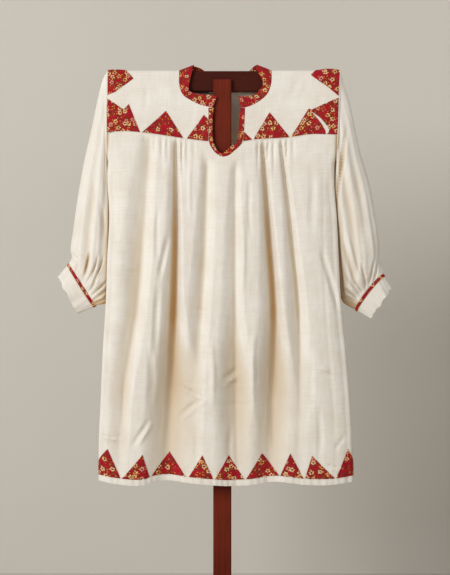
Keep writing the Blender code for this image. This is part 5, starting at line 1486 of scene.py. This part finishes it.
for outline, place, facing in patches:
    p, q = inset(outline, EDGE_INSET).T
    sewn["calico"].append(place(p, q) + normals_of(place, p, q) * facing * PATCH_STAND)
for outer_edge, inner_edge, toward in ((neck_outer, neck_inner, ways), (*edges, forward)):
    for share in STRIP_SHARES:
        line = outer_edge + (inner_edge - outer_edge) * share
        across = unit(np.cross(np.gradient(outer_edge, axis=0), inner_edge - outer_edge))
        across *= 1 if (across * toward).sum() > 0 else -1
        sewn["calico"].append((line + across * STRIP_STAND)[2:-2])
rings = [band_rings[0] * (1 - HEM_SHARE) + band_rings[-1] * HEM_SHARE + band_normals[0] * STRIP_STAND]
for side in (LEFT, RIGHT):
    pair = np.array([cuff_ring(side, CUFF_TOP + run) for run in (CUFF_INSET, CUFF_INSET + 1)])
    rings.append(pair[0] + ring_normals(pair)[0] * CUFF_STAND)
sewn["muslin"] += [np.vstack([ring, ring[:1]]) for ring in rings]


def stitch_tree():
    """Geometry Nodes: stitches of a set pitch, length and thickness along lines."""
    tree = bpy.data.node_groups.new("stitches", "GeometryNodeTree")
    tree.interface.new_socket("Lines", in_out="INPUT", socket_type="NodeSocketGeometry")
    for name in ("Pitch", "Length", "Thickness"):
        tree.interface.new_socket(name, in_out="INPUT", socket_type="NodeSocketFloat")
    tree.interface.new_socket("Thread", in_out="INPUT", socket_type="NodeSocketMaterial")
    tree.interface.new_socket("Stitches", in_out="OUTPUT", socket_type="NodeSocketGeometry")
    given = node(tree, "NodeGroupInput").outputs
    lines = node(tree, "GeometryNodeMeshToCurve", {"Mesh": given["Lines"]})
    spots = node(tree, "GeometryNodeCurveToPoints", {"Curve": lines.outputs[0], "Length": given["Pitch"]},
                 mode="LENGTH")
    size = node(tree, "ShaderNodeCombineXYZ", {"X": given["Thickness"], "Y": given["Thickness"],
                                               "Z": given["Length"]})
    grain = node(tree, "GeometryNodeMeshUVSphere", {"Segments": 5, "Rings": 4, "Radius": 0.5})
    thread = node(tree, "GeometryNodeTransform",
                  {"Geometry": grain.outputs["Mesh"], "Scale": size.outputs[0]})
    placed = node(tree, "GeometryNodeInstanceOnPoints", {"Points": spots.outputs["Points"],
                                                         "Instance": thread.outputs[0],
                                                         "Rotation": spots.outputs["Rotation"]})
    whole = node(tree, "GeometryNodeRealizeInstances", {"Geometry": placed.outputs[0]})
    dyed = node(tree, "GeometryNodeSetMaterial", {"Geometry": whole.outputs[0], "Material": given["Thread"]})
    out = node(tree, "NodeGroupOutput")
    tree.links.new(dyed.outputs[0], out.inputs["Stitches"])
    return tree


def thread_finish(name, colour):
    """Mercerised cotton thread: two plies twisted together, with a faint gleam."""
    made, tree, shader = finish_named(name)
    place = node(tree, "ShaderNodeTexCoord").outputs["Object"]
    twist = noise(tree, place, 900.0, 2.0)
    tone = mixed(tree, 1.0, linear(colour), spread(tree, twist, 0, 1, 0.82, 1.08), "MULTIPLY")
    coat(tree, shader, tone, {"Roughness": 0.6}, (twist, 0.3, 0.0002))
    return made


tree = stitch_tree()
for kind, lines in sewn.items():
    mesh = bpy.data.meshes.new("stitch lines")
    starts = np.cumsum([0] + [len(line) for line in lines])
    mesh.from_pydata([tuple(v) for v in np.vstack(lines) / 1000],
                     [(k, k + 1) for a, b in zip(starts, starts[1:]) for k in range(a, b - 1)], [])
    made = in_scene(f"stitches_{kind}", mesh)
    sewing = made.modifiers.new("stitches", "NODES")
    sewing.node_group = tree
    sizes = {"Pitch": STITCH_PITCH / 1000, "Length": STITCH_LENGTH / 1000, "Thickness": THREAD / 1000,
             "Thread": thread_finish(f"{kind} thread", THREAD_COLOURS[kind])}
    for socket in tree.interface.items_tree:
        if socket.name in sizes:
            sewing[socket.identifier] = sizes[socket.name]
    seen = made.evaluated_get(bpy.context.evaluated_depsgraph_get())
    stitched = bpy.data.meshes.new_from_object(seen)
    made.modifiers.clear()
    made.data = stitched
    stitched.shade_smooth()
    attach(made, "root")


# Floor and wall: a plain pale room, painted a warm grey, with one soft light from the left.
# Neither belongs to the object.
ROOM = "#D8D4CC"
HALF_WIDTH = 4.0
WALL_HEIGHT = 4.0
WALL_PLACE = 0.9
FRONT_EDGE = -4.5
FLOOR_LEVEL = -0.0005
room, room_tree, room_shader = finish_named("matt wall paint")
place = node(room_tree, "ShaderNodeTexCoord").outputs["Object"]
mottle = spread(room_tree, noise(room_tree, place, 3.0, 4.0), 0, 1, 0.97, 1.02)
coat(room_tree, room_shader, mixed(room_tree, 1.0, linear(ROOM), mottle, "MULTIPLY"), {"Roughness": 0.9})
# The wall is clear to a camera behind it, so that the garment's back can be looked at
behind = figure(room_tree, "MULTIPLY", node(room_tree, "ShaderNodeNewGeometry").outputs["Backfacing"],
                node(room_tree, "ShaderNodeLightPath").outputs["Is Camera Ray"])
clear = node(room_tree, "ShaderNodeBsdfTransparent").outputs[0]
either = node(room_tree, "ShaderNodeMixShader", {0: behind, 1: room_shader.outputs[0], 2: clear})
room_tree.links.new(either.outputs[0], room_tree.nodes["Material Output"].inputs["Surface"])
low = [(x, y, FLOOR_LEVEL) for x, y in ((-HALF_WIDTH, FRONT_EDGE), (HALF_WIDTH, FRONT_EDGE),
                                        (HALF_WIDTH, WALL_PLACE), (-HALF_WIDTH, WALL_PLACE))]
high = [(x, WALL_PLACE, WALL_HEIGHT) for x in (HALF_WIDTH, -HALF_WIDTH)]
for name, corners in (("floor", low), ("wall_behind", [low[3], low[2], *high])):
    mesh = bpy.data.meshes.new(name)
    mesh.from_pydata(corners, [], [(0, 1, 2, 3)])
    mesh.materials.append(room)
    in_scene(name, mesh)


def area_light(name, place, aim, size, watts, colour):
    """A soft square light."""
    lamp = bpy.data.lights.new(name, "AREA")
    lamp.size = size
    lamp.energy = watts
    lamp.color = linear(colour)[:3]
    made = in_scene(name, lamp)
    made.location = place
    made.rotation_euler = (Vector(aim) - Vector(place)).to_track_quat("-Z", "Y").to_euler()


area_light("window", (-2.75, -3.25, 2.4), (0.0, 0, 0.95), 2.3, 137, "#FFFDFB")
area_light("wall glow", (0.9, 0.0, 1.6), (0.45, 0.9, 1.2), 0.9, 1.5, "#FFFBF6")
area_light("fill", (1.3, -2.2, 1.5), (0, 0, 1.0), 1.2, 6, "#FFF6EE")
# Light that the thin cloth lets through to the inside of the back
area_light("through the cloth", (0.043, 0.005, 0.93), (0.043, 0.02, 1.15), 0.014, 0.1, "#FFDDB0")
world = bpy.data.worlds.new("room light")
world.use_nodes = True
background = world.node_tree.nodes["Background"].inputs
background["Color"].default_value = linear("#F2EEEA")
background["Strength"].default_value = 0.27
bpy.context.scene.world = world

camera = bpy.data.cameras.new("camera")
camera.lens = 85
camera.sensor_fit = "VERTICAL"
camera.sensor_height = 36
eye = in_scene("camera", camera)
eye.location = (0.00594, -3.007, 0.8215)
eye.rotation_euler = (math.pi / 2, 0, 0)
bpy.context.scene.camera = eye
bpy.context.scene.view_settings.view_transform = "Standard"
